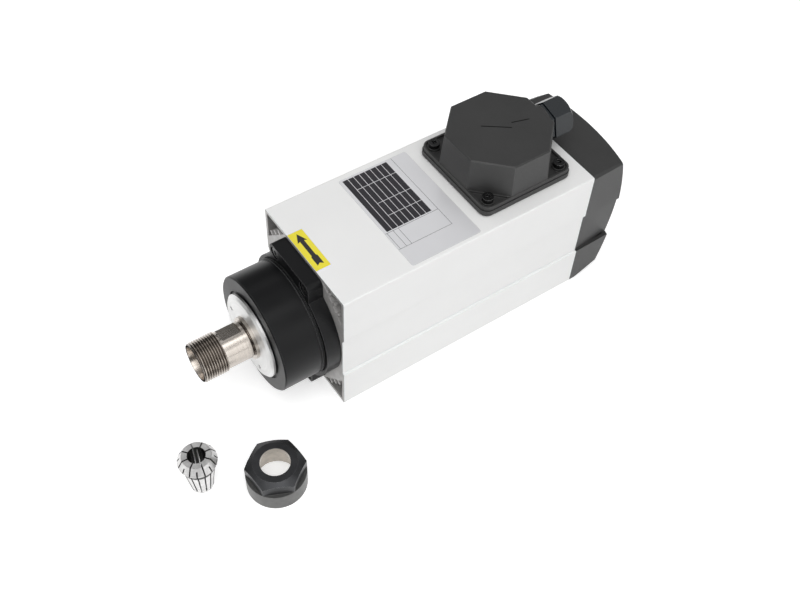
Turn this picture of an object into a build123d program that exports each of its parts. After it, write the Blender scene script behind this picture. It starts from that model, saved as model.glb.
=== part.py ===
from build123d import *
from math import cos, radians, sin, tan
import os

# Motor spindle lying on the underside of its square body. Millimetres, +Z up.
# The spindle axis runs along Y with the nose towards -Y, and the origin is the
# middle of the body's underside. The terminal box stands on top, near the rear,
# and a collet and its clamping nut stand beside the nose.

# Clearances
seat_clearance = 0.02
thread_clearance = 0.1
race_clearance = 0.15
running_clearance = 0.3

# Body extrusion
body_width = 84.0
body_height = 96.0
body_length = 178.0
body_edge_radius = 1.0
body_wall = 2.2
stator_bore_radius = 37.5
band_depth = 1.5
band_bottom = 29.5
band_top = 63.0
band_slope_height = 2.5
channel_leg = 19.0
channel_fin_count = 3
channel_fin_pitch = 6.2
channel_fin_height = 3.2
channel_fin_thickness = 1.5
mounting_hole_radius = 3.0
mounting_hole_depth = 9.0
mounting_pitch_x = 30.0
mounting_pitch_y = 110.0
lead_hole_radius = 7.0

# Screws at both ends of the body
end_screw_radius = 2.0
end_screw_head_radius = 3.5
end_screw_head_height = 4.0
end_screw_grip = 5.0
end_screw_thread_depth = 11.0
end_screw_x = 15.5
end_screw_inset = 7.4
head_recess_radius = 4.1
hex_key_radius = 1.73

# Front flange with its nose
flange_thickness = 9.5
flange_radius = 39.4
ear_half_width = 21.0
ear_margin = 2.2
ear_corner_radius = 4.0
shoulder_radius = 37.4
shoulder_length = 1.8
shoulder_groove_depth = 0.5
shoulder_groove_width = 0.6
nose_radius = 36.65
nose_reach = 35.1
nose_chamfer = 0.8
nose_recess_radius = 28.0
nose_recess_depth = 1.2
spigot_length = 8.0
front_lip_thickness = 3.0
front_lip_radius = 18.6

# Front bearing pair, 30 x 55 x 13
front_bearing_bore = 15.0
front_bearing_outer = 27.5
front_bearing_width = 13.0
front_bearing_count = 2
front_ball_radius = 3.57
front_ball_count = 12
front_ring_wall = 3.9

# Rear bearing, 17 x 35 x 10
rear_bearing_bore = 8.5
rear_bearing_outer = 17.5
rear_bearing_width = 10.0
rear_ball_radius = 2.11
rear_ball_count = 9
rear_ring_wall = 2.9

# Details that all bearings share
ring_chamfer = 0.6
ring_gap = 0.1
cage_thickness = 1.4
cage_side_gap = 1.6

# Retainer behind the front bearings
retainer_radius = 34.0
retainer_inner_radius = 21.0
retainer_thickness = 5.0
retainer_screw_circle = 30.9
retainer_screw_count = 4
retainer_screw_radius = 1.5
retainer_screw_head_radius = 2.6
retainer_screw_head_height = 2.6
retainer_screw_length = 12.0

# Spindle shaft
shaft_reach = 72.6
shaft_thread_radius = 12.5
shaft_thread_length = 15.6
shaft_tip_chamfer = 0.9
shaft_journal_radius = 11.5
shaft_groove_radius = 10.8
shaft_groove_width = 1.3
wrench_flat_width = 20.0
wrench_flat_length = 11.9
wrench_flat_gap = 1.8
wrench_flat_angle = 18.0
socket_mouth_radius = 10.45
socket_half_angle = 8.0
socket_depth = 28.0
draw_bore_radius = 5.0
draw_bore_depth = 14.0
disc_seat_radius = 13.3
disc_seat_reach = 40.2
shaft_shoulder_radius = 17.6
shaft_shoulder_length = 4.0
shaft_core_radius = 14.0
shaft_rear_radius = 10.4
fan_seat_radius = 7.5
fan_seat_reach = 203.0

# Bright ring that closes the nose and clamps the front bearings
disc_face_reach = 38.3
disc_face_radius = 25.0
disc_radius = 26.5
disc_chamfer_length = 1.3
disc_thickness = 2.6
disc_neck_radius = 18.0
disc_hole_radius = 1.3
disc_hole_depth = 1.4
disc_hole_circle = 20.2
disc_hole_angles = (162.5, -59.5)

# Stator, rotor and windings
stator_start = 35.0
stator_length = 90.0
stator_slot_count = 12
stator_slot_width = 6.0
stator_slot_depth = 8.5
stator_tooth_height = 2.0
slot_mouth_width = 2.0
slot_liner = 0.3
air_gap = 0.5
rotor_radius = 21.5
rotor_ring_thickness = 6.0
rotor_ring_radius = 20.3
rotor_ring_bore = 16.0
winding_length = 15.0
winding_inner_radius = 24.4
winding_outer_radius = 34.0
winding_round = 3.5
lead_radius = 1.1
lead_pitch = 4.0

# Rear bracket with the rear bearing's seat
bracket_spigot_length = 12.0
bracket_thickness = 5.0
bracket_ear_margin = 4.0
bracket_screw_inset = 8.8
bracket_ear_width = 40.0
bracket_bearing_setback = 3.0
bracket_lip = 2.0
bracket_relief_radius = 22.5
bracket_relief_outer = 34.5
bracket_relief_depth = 9.0
preload_washer_thickness = 0.7
preload_washer_inner_radius = 12.2
preload_washer_outer_radius = 17.2

# Cooling fan and the clip that holds it
fan_start = 186.5
fan_length = 15.5
fan_radius = 31.5
fan_disc_radius = 27.5
fan_disc_thickness = 1.6
fan_hub_radius = 11.0
fan_blade_count = 9
fan_blade_thickness = 1.6
fan_hub_length = 12.0
clip_thickness = 1.0
clip_radius = 9.6
clip_groove_depth = 0.6
clip_gap_width = 4.0

# Rear cover
cover_wall = 2.5
cover_apex_reach = 212.5
cover_dome_radius = 160.0
cover_dome_lift = 6.0
cover_draft = 0.8
cover_top_bevel = 1.6
cover_ramp_start = 2.5
cover_ramp_angle = 20.5
far_bevel_start = 4.5
far_bevel_size = 7.4
far_bevel_growth = 0.1
scoop_top_growth = 0.037
scoop_bottom_growth = 0.087
grille_ring_count = 4
grille_first_radius = 8.5
grille_slot_width = 3.4
grille_ring_pitch = 6.2
grille_spoke_count = 6
grille_spoke_width = 4.0
cover_screw_circle = 42.5
cover_post_radius = 4.6
cover_screw_radius = 1.75
cover_screw_head_radius = 3.0
cover_screw_head_height = 2.4
cover_screw_depth = 9.0
cover_screw_floor = 3.0

# Terminal box
box_centre_from_front = 134.5
box_margin = 0.5
box_corner_radius = 5.5
box_gasket_thickness = 1.0
box_gasket_inset = 0.6
base_thickness = 3.1
base_floor = 1.4
base_pocket_wall = 3.0
lid_gasket_thickness = 0.4
lid_gasket_inset = 1.2
lid_flange_width = 65.0
lid_flange_thickness = 2.6
lid_rim_thickness = 1.2
lid_pocket_depth = 1.6
lid_boss_radius = 4.0
lid_foot_inset = 0.2
lid_draft = 1.6
lid_height = 24.5
lid_wall = 2.4
lid_edge_radius = 0.7
lid_screw_inset = 6.0
lid_screw_radius = 2.0
lid_screw_head_radius = 3.5
lid_screw_head_height = 3.0
lid_screw_length = 5.8
base_screw_inset = 8.8
base_screw_radius = 1.6
base_screw_head_radius = 2.8
base_screw_head_height = 1.8
base_screw_length = 8.0

# Terminal block, its studs and the earth screw
block_width = 36.0
block_depth = 18.0
block_height = 7.0
block_offset_y = -11.0
block_fence_thickness = 1.6
block_fence_height = 3.0
stud_radius = 2.0
stud_height = 7.0
stud_pitch_x = 10.0
stud_pitch_y = 9.0
stud_nut_width = 7.0
stud_nut_height = 3.2
earth_screw_turn = 33.69
earth_screw_margin = 4.061
earth_screw_radius = 2.0
earth_screw_head_radius = 3.8
earth_screw_head_height = 2.6

# Cable gland on the rear wall of the box
gland_axis_rise = 12.5
gland_boss_radius = 11.8
gland_boss_proud = 0.3
gland_boss_wall = 4.4
gland_thread_radius = 8.0
gland_bore_radius = 6.95
gland_collar_width = 20.6
gland_collar_length = 2.4
gland_neck_radius = 8.4
gland_neck_length = 11.0
gland_locknut_width = 19.0
gland_locknut_thickness = 3.6
gland_nut_width = 22.5
gland_nut_gap = 0.3
gland_nut_hex_length = 10.4
gland_nut_dome_length = 3.4
gland_nut_dome_inset = 0.85
gland_nut_dome_bulge = 0.4
gland_nut_mouth_radius = 9.7
gland_nut_bore_radius = 8.5
gland_nut_turn = 13.3
gland_seal_bore = 5.5
gland_seal_length = 8.0
gland_seal_head_radius = 8.3
gland_seal_proud = 1.1

# Labels on the top face
arrow_label_width = 31.9
arrow_label_depth = 9.9
arrow_label_centre_x = -1.55
arrow_label_margin = 0.1
plate_width = 76.9
plate_depth = 47.8
plate_start = 46.9
plate_centre_x = 0.95
label_thickness = 0.2
label_corner_radius = 1.5

# Collet standing beside the body
collet_x = 43.3
collet_from_front = 96.8
collet_length = 31.5
collet_rim_radius = 11.2
collet_rim_height = 0.6
collet_face_radius = 8.4
collet_face_height = 5.0
collet_groove_radius = 8.9
collet_groove_width = 1.9
collet_tail_radius = 6.5
collet_bore_radius = 5.15
collet_slot_count = 8
collet_slot_width = 0.7
collet_slot_margin = 2.0
collet_turn = -5.0

# Clamping nut standing beside the body
nut_x = 65.2
nut_from_front = 60.5
nut_height = 21.2
nut_radius = 17.6
nut_hex_width = 30.6
nut_skirt_height = 12.0
nut_flat_run_out = 3.0
nut_crown_radius = 12.8
nut_crown_angle = 35.0
nut_hole_radius = 8.65
nut_cone_angle = 30.0
nut_thread_radius = 12.0
nut_lip_length = 3.0
nut_turn = 5.6
nut_entry_radius = 13.4

# Places worked out from the sizes above
axis_height = body_height / 2
front_face = -body_length / 2
rear_face = body_length / 2
half_width = body_width / 2
end_screw_z = axis_height - end_screw_inset
ear_reach = axis_height - ear_margin
bracket_screw_z = axis_height - bracket_screw_inset
bracket_ear_reach = axis_height - bracket_ear_margin
band_low = band_bottom - axis_height
band_high = band_top - axis_height
nose_face = front_face - nose_reach
bearing_front = nose_face + nose_recess_depth + front_lip_thickness
bearing_rear = bearing_front + front_bearing_count * front_bearing_width
stator_front = front_face + stator_start
stator_rear = stator_front + stator_length
bracket_front = rear_face - bracket_spigot_length
rear_bearing_front = bracket_front + bracket_bearing_setback
rear_bearing_rear = rear_bearing_front + rear_bearing_width
bracket_rear = rear_face + bracket_thickness
fan_front = front_face + fan_start
box_y = front_face + box_centre_from_front
box_width = lid_flange_width + 2 * box_margin
lid_octagon_bottom = lid_flange_width - 2 * lid_foot_inset
lid_octagon_top = lid_octagon_bottom - 2 * lid_draft
lid_screw_pitch = lid_flange_width - 2 * lid_screw_inset
base_pocket_width = lid_octagon_bottom - 2 * base_pocket_wall
base_screw_offset = lid_octagon_bottom / 2 - base_screw_inset
earth_screw_reach = base_pocket_width / 2 - earth_screw_margin
earth_screw_x = earth_screw_reach * cos(radians(earth_screw_turn))
earth_screw_y = earth_screw_reach * sin(radians(earth_screw_turn))
gland_boss_reach = lid_octagon_bottom / 2 + gland_boss_proud
spindle_axis = Axis((0, 0, axis_height), (0, 1, 0))
profile_plane = Plane(origin=(0, 0, axis_height), x_dir=(0, 1, 0), z_dir=(1, 0, 0))


def across(y):
    """Plane across the spindle axis, X to the right and Z up, facing the nose."""
    return Plane(origin=(0, y, axis_height), x_dir=(1, 0, 0), z_dir=(0, -1, 0))


def turned(points):
    """A piece turned about the spindle axis, from half of its section as (y, radius)."""
    with BuildPart() as piece:
        with BuildSketch(profile_plane):
            with BuildLine():
                Polyline(*points, close=True)
            make_face()
        revolve(axis=spindle_axis)
    return piece


def save(piece, name):
    """Label a finished piece and write its STEP file."""
    piece.part.label = name
    export_step(piece.part, f"parts/{name}.step")


def screws(planes, radius, length, head_radius, head_height, key_radius):
    """Socket-head screws, one on each plane, with the head standing on the plane."""
    with BuildPart() as group:
        for plane in planes:
            with BuildSketch(plane):
                Circle(head_radius)
            extrude(amount=head_height)
            with BuildSketch(plane):
                Circle(radius)
            extrude(amount=-length)
            with BuildSketch(plane.offset(head_height)):
                RegularPolygon(key_radius, 6)
            extrude(amount=-head_height / 2, mode=Mode.SUBTRACT)
    return group


def end_screw_planes(y, height, outward):
    """Planes of the four screws at one end of the body, at a height above and below the axis."""
    return [Plane(origin=(sx * end_screw_x, y, axis_height + sz * height),
                  x_dir=(1, 0, 0), z_dir=(0, outward, 0))
            for sx in (-1, 1) for sz in (-1, 1)]


def bearing_rings(starts, width, bore, outer, wall, ball_radius):
    """Outer rings and inner rings of ball bearings that start at the given places."""
    pitch = (bore + outer) / 2
    groove = ball_radius + race_clearance
    rings = []
    for low, high in ((outer - wall, outer), (bore, bore + wall)):
        with BuildPart() as ring:
            for start in starts:
                with BuildSketch(profile_plane) as section:
                    with Locations((start + width / 2, (low + high) / 2)):
                        Rectangle(width - ring_gap, high - low)
                    rim = section.vertices().group_by(Axis.Y)
                    chamfer(rim[-1] if high == outer else rim[0], ring_chamfer)
                    with Locations((start + width / 2, pitch)):
                        Circle(groove, mode=Mode.SUBTRACT)
                revolve(axis=spindle_axis)
        rings.append(ring)
    return rings


def ball_places(start, width, pitch, count):
    """Centres of one bearing's balls."""
    turns = [radians(index * 360 / count) for index in range(count)]
    return [(pitch * cos(turn), start + width / 2, axis_height + pitch * sin(turn)) for turn in turns]


def bearing_balls(starts, width, bore, outer, ball_radius, count):
    """The balls of bearings that start at the given places."""
    with BuildPart() as balls:
        for start in starts:
            with Locations(*ball_places(start, width, (bore + outer) / 2, count)):
                Sphere(ball_radius)
    return balls


def bearing_cages(starts, width, bore, outer, ball_radius, count):
    """The cages of those bearings: thin rings with a round pocket for each ball."""
    pitch = (bore + outer) / 2
    turns = [radians(index * 360 / count) for index in range(count)]
    with BuildPart() as cages:
        for start in starts:
            with BuildSketch(across(start + cage_side_gap)):
                Circle(pitch + cage_thickness / 2)
                Circle(pitch - cage_thickness / 2, mode=Mode.SUBTRACT)
            extrude(amount=-(width - 2 * cage_side_gap))
            for turn in turns:
                pocket = Plane(origin=(0, start + width / 2, axis_height), x_dir=(0, 1, 0),
                               z_dir=(cos(turn), 0, sin(turn)))
                with BuildSketch(pocket):
                    Circle(ball_radius + race_clearance)
                extrude(amount=outer, mode=Mode.SUBTRACT)
    return cages


os.makedirs("parts", exist_ok=True)


# Body extrusion: wide bore, four finned corner channels and a shallow band on each side
def band_outline(side, low_depth, high_depth, spare):
    """Section of the recessed band in one side wall, out past the wall by the spare."""
    outer = side * (half_width + spare)
    rise = band_slope_height * (1 + spare / band_depth)
    return [(outer, band_low), (side * (half_width - low_depth), band_low),
            (side * (half_width - high_depth), band_high - band_slope_height),
            (outer, band_high - band_slope_height + rise)]


with BuildPart() as body_extrusion:
    with BuildSketch(across(front_face)):
        RectangleRounded(body_width, body_height, body_edge_radius)
        Circle(stator_bore_radius, mode=Mode.SUBTRACT)
        for side in (-1, 1):
            with BuildLine():
                Polyline(*band_outline(side, band_depth, band_depth, band_depth), close=True)
            make_face(mode=Mode.SUBTRACT)
        inner_x = half_width - body_wall
        inner_z = axis_height - body_wall
        for sx in (-1, 1):
            for sz in (-1, 1):
                with BuildLine():
                    Polyline((sx * inner_x, sz * inner_z), (sx * inner_x, sz * (inner_z - channel_leg)),
                             (sx * (inner_x - channel_leg), sz * inner_z), close=True)
                make_face(mode=Mode.SUBTRACT)
                for index in range(channel_fin_count):
                    shift = (index - (channel_fin_count - 1) / 2) * channel_fin_pitch * sin(radians(45))
                    place = (sx * (inner_x - channel_leg / 2 + shift), sz * (inner_z - channel_leg / 2 - shift))
                    with Locations(Location(place, 45 * sx * sz)):
                        Rectangle(channel_fin_height * 2, channel_fin_thickness)
    extrude(amount=-body_length)
    front_planes = end_screw_planes(front_face, end_screw_z, -1)
    rear_planes = end_screw_planes(rear_face, bracket_screw_z, 1)
    for plane in front_planes + rear_planes:
        with BuildSketch(plane):
            Circle(end_screw_radius + thread_clearance)
        extrude(amount=-(end_screw_thread_depth + thread_clearance), mode=Mode.SUBTRACT)
    with BuildSketch(across(rear_face)):
        with PolarLocations(cover_screw_circle, 4, start_angle=45):
            Circle(cover_screw_radius + thread_clearance)
    extrude(amount=cover_screw_depth + thread_clearance, mode=Mode.SUBTRACT)
    with BuildSketch(Plane.XY):
        with GridLocations(mounting_pitch_x, mounting_pitch_y, 2, 2):
            Circle(mounting_hole_radius)
    extrude(amount=mounting_hole_depth, mode=Mode.SUBTRACT)
    with BuildSketch(Plane.XY.offset(axis_height)):
        with Locations((0, box_y)):
            Circle(lead_hole_radius)
        with Locations((0, box_y - base_screw_offset), (0, box_y + base_screw_offset)):
            Circle(base_screw_radius + thread_clearance)
    extrude(amount=axis_height, mode=Mode.SUBTRACT)
save(body_extrusion, "body_extrusion")

# Front flange: a round plate with two ears, a stepped nose and the front bearings' seat
plate_front = front_face - flange_thickness
shoulder_front = plate_front - shoulder_length
seat_radius = front_bearing_outer + seat_clearance
retainer_seat = retainer_radius + thread_clearance
with BuildPart() as front_flange:
    with BuildSketch(profile_plane):
        with BuildLine():
            Polyline((nose_face + nose_chamfer, nose_radius),
                     (shoulder_front, nose_radius),
                     (shoulder_front, shoulder_radius),
                     (plate_front - shoulder_groove_width, shoulder_radius),
                     (plate_front - shoulder_groove_width, shoulder_radius - shoulder_groove_depth),
                     (plate_front, shoulder_radius - shoulder_groove_depth),
                     (plate_front, flange_radius),
                     (front_face, flange_radius),
                     (front_face, stator_bore_radius - thread_clearance),
                     (front_face + spigot_length, stator_bore_radius - thread_clearance),
                     (front_face + spigot_length, retainer_seat),
                     (bearing_rear, retainer_seat),
                     (bearing_rear, seat_radius),
                     (bearing_front, seat_radius),
                     (bearing_front, front_lip_radius),
                     (nose_face + nose_recess_depth, front_lip_radius),
                     (nose_face + nose_recess_depth, nose_recess_radius),
                     (nose_face, nose_recess_radius),
                     (nose_face, nose_radius - nose_chamfer), close=True)
        make_face()
    revolve(axis=spindle_axis)
    with BuildSketch(across(front_face)):
        RectangleRounded(2 * ear_half_width, 2 * ear_reach, ear_corner_radius)
        Circle(flange_radius - body_edge_radius, mode=Mode.SUBTRACT)
    extrude(amount=flange_thickness)
    for plane in end_screw_planes(plate_front, end_screw_z, -1):
        with BuildSketch(plane):
            Circle(head_recess_radius)
        extrude(amount=-(flange_thickness - end_screw_grip), mode=Mode.SUBTRACT)
        with BuildSketch(plane):
            Circle(end_screw_radius + thread_clearance)
        extrude(amount=-flange_thickness, mode=Mode.SUBTRACT)
    with BuildSketch(across(bearing_rear)):
        with PolarLocations(retainer_screw_circle, retainer_screw_count, start_angle=45):
            Circle(retainer_screw_radius + thread_clearance)
    extrude(amount=retainer_screw_length, mode=Mode.SUBTRACT)
save(front_flange, "front_flange")

flange_screws = screws(end_screw_planes(front_face - end_screw_grip, end_screw_z, -1), end_screw_radius,
                       end_screw_grip + end_screw_thread_depth, end_screw_head_radius,
                       end_screw_head_height, hex_key_radius)
save(flange_screws, "flange_screws")

# Front bearings: a pair of angular-contact bearings
front_starts = [bearing_front + index * front_bearing_width for index in range(front_bearing_count)]
front_outer_rings, front_inner_rings = bearing_rings(
    front_starts, front_bearing_width, front_bearing_bore, front_bearing_outer,
    front_ring_wall, front_ball_radius)
save(front_outer_rings, "front_bearing_outer_rings")
save(front_inner_rings, "front_bearing_inner_rings")
front_balls = bearing_balls(front_starts, front_bearing_width, front_bearing_bore,
                            front_bearing_outer, front_ball_radius, front_ball_count)
save(front_balls, "front_bearing_balls")
front_cages = bearing_cages(front_starts, front_bearing_width, front_bearing_bore,
                            front_bearing_outer, front_ball_radius, front_ball_count)
save(front_cages, "front_bearing_cages")

# Retainer ring that holds the bearings' outer rings in the flange
with BuildPart() as bearing_retainer:
    with BuildSketch(across(bearing_rear)):
        Circle(retainer_radius)
        Circle(retainer_inner_radius, mode=Mode.SUBTRACT)
        with PolarLocations(retainer_screw_circle, retainer_screw_count, start_angle=45):
            Circle(retainer_screw_radius + thread_clearance, mode=Mode.SUBTRACT)
    extrude(amount=-retainer_thickness)
save(bearing_retainer, "bearing_retainer")

retainer_planes = [
    Plane(origin=(retainer_screw_circle * cos(radians(turn)), bearing_rear + retainer_thickness,
                  axis_height + retainer_screw_circle * sin(radians(turn))),
          x_dir=(1, 0, 0), z_dir=(0, 1, 0))
    for turn in (45 + index * 360 / retainer_screw_count for index in range(retainer_screw_count))]
retainer_screws = screws(retainer_planes, retainer_screw_radius, retainer_screw_length,
                         retainer_screw_head_radius, retainer_screw_head_height, retainer_screw_radius)
save(retainer_screws, "retainer_screws")

# Spindle shaft: taper socket and thread at the nose, seats for bearings, rotor and fan
shaft_front = front_face - shaft_reach
thread_rear = shaft_front + shaft_thread_length
disc_seat_front = front_face - disc_seat_reach
shoulder_end = bearing_rear + shaft_shoulder_length
clip_front = fan_front + fan_hub_length + running_clearance
clip_rear = clip_front + clip_thickness + seat_clearance
groove_radius = fan_seat_radius - clip_groove_depth
socket_end_radius = socket_mouth_radius - socket_depth * tan(radians(socket_half_angle))
socket_end = shaft_front + socket_depth
shaft = turned([(shaft_front, socket_mouth_radius),
                (shaft_front, shaft_thread_radius - shaft_tip_chamfer),
                (shaft_front + shaft_tip_chamfer, shaft_thread_radius),
                (thread_rear, shaft_thread_radius),
                (thread_rear, shaft_journal_radius),
                (disc_seat_front - shaft_groove_width, shaft_journal_radius),
                (disc_seat_front - shaft_groove_width, shaft_groove_radius),
                (disc_seat_front, shaft_groove_radius),
                (disc_seat_front, disc_seat_radius),
                (bearing_front, disc_seat_radius),
                (bearing_front, front_bearing_bore - seat_clearance),
                (bearing_rear, front_bearing_bore - seat_clearance),
                (bearing_rear, shaft_shoulder_radius),
                (shoulder_end, shaft_shoulder_radius),
                (shoulder_end, shaft_core_radius),
                (stator_rear, shaft_core_radius),
                (stator_rear, shaft_rear_radius),
                (rear_bearing_front, shaft_rear_radius),
                (rear_bearing_front, rear_bearing_bore - seat_clearance),
                (rear_bearing_rear, rear_bearing_bore - seat_clearance),
                (rear_bearing_rear, fan_seat_radius),
                (clip_front, fan_seat_radius),
                (clip_front, groove_radius),
                (clip_rear, groove_radius),
                (clip_rear, fan_seat_radius),
                (front_face + fan_seat_reach, fan_seat_radius),
                (front_face + fan_seat_reach, 0),
                (socket_end + draw_bore_depth, 0),
                (socket_end + draw_bore_depth, draw_bore_radius),
                (socket_end, draw_bore_radius),
                (socket_end, socket_end_radius)])
flat_rear = disc_seat_front - shaft_groove_width - wrench_flat_gap - wrench_flat_length
with BuildPart() as spindle_shaft:
    add(shaft.part)
    with BuildSketch(across(flat_rear)):
        with Locations(Location((0, 0), wrench_flat_angle)):
            Rectangle(2 * shaft_thread_radius + wrench_flat_width, 4 * shaft_thread_radius)
            Rectangle(4 * shaft_thread_radius, wrench_flat_width, mode=Mode.SUBTRACT)
    extrude(amount=-wrench_flat_length, mode=Mode.SUBTRACT)
save(spindle_shaft, "spindle_shaft")

# Nose ring, with two holes for a pin spanner
disc_front = front_face - disc_face_reach
ring = turned([(disc_front, disc_seat_radius + seat_clearance),
               (disc_front, disc_face_radius),
               (disc_front + disc_chamfer_length, disc_radius),
               (disc_front + disc_thickness, disc_radius),
               (disc_front + disc_thickness, disc_neck_radius),
               (bearing_front, disc_neck_radius),
               (bearing_front, disc_seat_radius + seat_clearance)])
with BuildPart() as nose_ring:
    add(ring.part)
    with BuildSketch(across(disc_front)):
        for turn in disc_hole_angles:
            with Locations((disc_hole_circle * cos(radians(turn)), disc_hole_circle * sin(radians(turn)))):
                Circle(disc_hole_radius)
    extrude(amount=-disc_hole_depth, mode=Mode.SUBTRACT)
save(nose_ring, "nose_ring")

# Rotor on the shaft
rotor_core = turned([(stator_front, shaft_core_radius + seat_clearance), (stator_front, rotor_radius),
                     (stator_rear, rotor_radius), (stator_rear, shaft_core_radius + seat_clearance)])
save(rotor_core, "rotor_core")
with BuildPart() as rotor_end_rings:
    for start in (stator_front - rotor_ring_thickness, stator_rear):
        with BuildSketch(across(start)):
            Circle(rotor_ring_radius)
            Circle(rotor_ring_bore, mode=Mode.SUBTRACT)
        extrude(amount=-rotor_ring_thickness)
save(rotor_end_rings, "rotor_end_rings")

# Stator stack with its winding slots
stator_radius = stator_bore_radius - seat_clearance
stator_inner = rotor_radius + air_gap
slot_bottom = stator_inner + stator_tooth_height
with BuildPart() as stator_core:
    with BuildSketch(across(stator_front)):
        Circle(stator_radius)
        Circle(stator_inner, mode=Mode.SUBTRACT)
        with PolarLocations(slot_bottom + stator_slot_depth / 2, stator_slot_count):
            Rectangle(stator_slot_depth, stator_slot_width, mode=Mode.SUBTRACT)
        with PolarLocations(slot_bottom, stator_slot_count):
            Rectangle(2 * stator_tooth_height + slot_liner, slot_mouth_width, mode=Mode.SUBTRACT)
    extrude(amount=-stator_length)
save(stator_core, "stator_core")

# Windings: a coil in each slot, joined by rounded end turns
with BuildPart() as stator_windings:
    with BuildSketch(across(stator_front)):
        with PolarLocations(slot_bottom + stator_slot_depth / 2, stator_slot_count):
            Rectangle(stator_slot_depth - 2 * slot_liner, stator_slot_width - 2 * slot_liner)
    extrude(amount=-stator_length)
    for start in (stator_front - winding_length, stator_rear):
        with BuildSketch(profile_plane):
            with Locations((start + winding_length / 2, (winding_inner_radius + winding_outer_radius) / 2)):
                RectangleRounded(winding_length, winding_outer_radius - winding_inner_radius, winding_round)
        revolve(axis=spindle_axis)
save(stator_windings, "stator_windings")

# Rear bracket: a spigot in the bore, two ears for its screws and the rear bearing's seat
rear_seat = rear_bearing_outer + seat_clearance
bracket_body = turned([(bracket_front, rear_seat),
                       (bracket_front, bracket_relief_radius),
                       (bracket_front + bracket_relief_depth, bracket_relief_radius),
                       (bracket_front + bracket_relief_depth, bracket_relief_outer),
                       (bracket_front, bracket_relief_outer),
                       (bracket_front, stator_bore_radius - thread_clearance),
                       (bracket_rear, stator_bore_radius - thread_clearance),
                       (bracket_rear, shaft_rear_radius),
                       (bracket_rear - bracket_lip, shaft_rear_radius),
                       (bracket_rear - bracket_lip, rear_seat)])
with BuildPart() as rear_bracket:
    add(bracket_body.part)
    with BuildSketch(across(rear_face)):
        RectangleRounded(bracket_ear_width, 2 * bracket_ear_reach, ear_corner_radius)
        Circle(stator_bore_radius - body_edge_radius, mode=Mode.SUBTRACT)
    extrude(amount=-bracket_thickness)
    for plane in end_screw_planes(bracket_rear, bracket_screw_z, 1):
        with BuildSketch(plane):
            Circle(end_screw_radius + thread_clearance)
        extrude(amount=-bracket_thickness, mode=Mode.SUBTRACT)
save(rear_bracket, "rear_bracket")

bracket_screws = screws(end_screw_planes(bracket_rear, bracket_screw_z, 1), end_screw_radius,
                        bracket_thickness + end_screw_thread_depth, end_screw_head_radius,
                        bracket_lip, hex_key_radius)
save(bracket_screws, "rear_bracket_screws")

# Rear bearing
rear_outer_ring, rear_inner_ring = bearing_rings(
    [rear_bearing_front], rear_bearing_width, rear_bearing_bore, rear_bearing_outer,
    rear_ring_wall, rear_ball_radius)
save(rear_outer_ring, "rear_bearing_outer_ring")
save(rear_inner_ring, "rear_bearing_inner_ring")
rear_balls = bearing_balls([rear_bearing_front], rear_bearing_width, rear_bearing_bore,
                           rear_bearing_outer, rear_ball_radius, rear_ball_count)
save(rear_balls, "rear_bearing_balls")
rear_cage = bearing_cages([rear_bearing_front], rear_bearing_width, rear_bearing_bore,
                          rear_bearing_outer, rear_ball_radius, rear_ball_count)
save(rear_cage, "rear_bearing_cage")

# Conical spring washer that pushes the rear bearing's outer ring forwards
spring_rear = bracket_rear - bracket_lip
preload_washer = turned([(rear_bearing_rear, preload_washer_outer_radius),
                         (rear_bearing_rear + preload_washer_thickness, preload_washer_outer_radius),
                         (spring_rear, preload_washer_inner_radius),
                         (spring_rear - preload_washer_thickness, preload_washer_inner_radius)])
save(preload_washer, "preload_washer")

# Cooling fan: a hub, a back disc and straight blades
with BuildPart() as cooling_fan:
    with BuildSketch(across(fan_front)):
        Circle(fan_disc_radius)
    extrude(amount=-fan_disc_thickness)
    with BuildSketch(across(fan_front)):
        with PolarLocations((fan_hub_radius + fan_radius) / 2, fan_blade_count):
            Rectangle(fan_radius - fan_hub_radius + fan_blade_thickness, fan_blade_thickness)
    extrude(amount=-fan_length)
    with BuildSketch(across(fan_front)):
        Circle(fan_hub_radius)
    extrude(amount=-fan_hub_length)
    with BuildSketch(across(fan_front)):
        Circle(fan_seat_radius + seat_clearance)
    extrude(amount=-fan_length, mode=Mode.SUBTRACT)
save(cooling_fan, "cooling_fan")

with BuildPart() as fan_clip:
    with BuildSketch(across(clip_front)):
        Circle(clip_radius)
        Circle(groove_radius + seat_clearance, mode=Mode.SUBTRACT)
        with Locations((0, -clip_radius)):
            Rectangle(clip_gap_width, 2 * clip_radius - groove_radius / 2, mode=Mode.SUBTRACT)
    extrude(amount=-clip_thickness)
save(fan_clip, "fan_clip")


# Rear cover: a domed moulded shell with scooped sides, a rising underside and a grille
cover_length = cover_apex_reach - body_length
cover_rear = rear_face + cover_length
dome_centre = (0, cover_rear - cover_dome_radius, axis_height + cover_dome_lift)


def corner_cut(side, size, growth, start, inset):
    """Wedge that bevels one long top edge, wider towards the rear."""
    with BuildPart() as wedge:
        for y, leg in ((rear_face + start, size), (cover_rear, size + growth * (cover_length - start))):
            reach = leg + inset * tan(radians(22.5)) * 2
            corner_x = side * half_width
            with BuildSketch(across(y)):
                with BuildLine():
                    Polyline((corner_x, axis_height), (corner_x, axis_height - reach),
                             (corner_x - side * reach, axis_height), close=True)
                make_face()
        loft(ruled=True)
    return wedge


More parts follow.
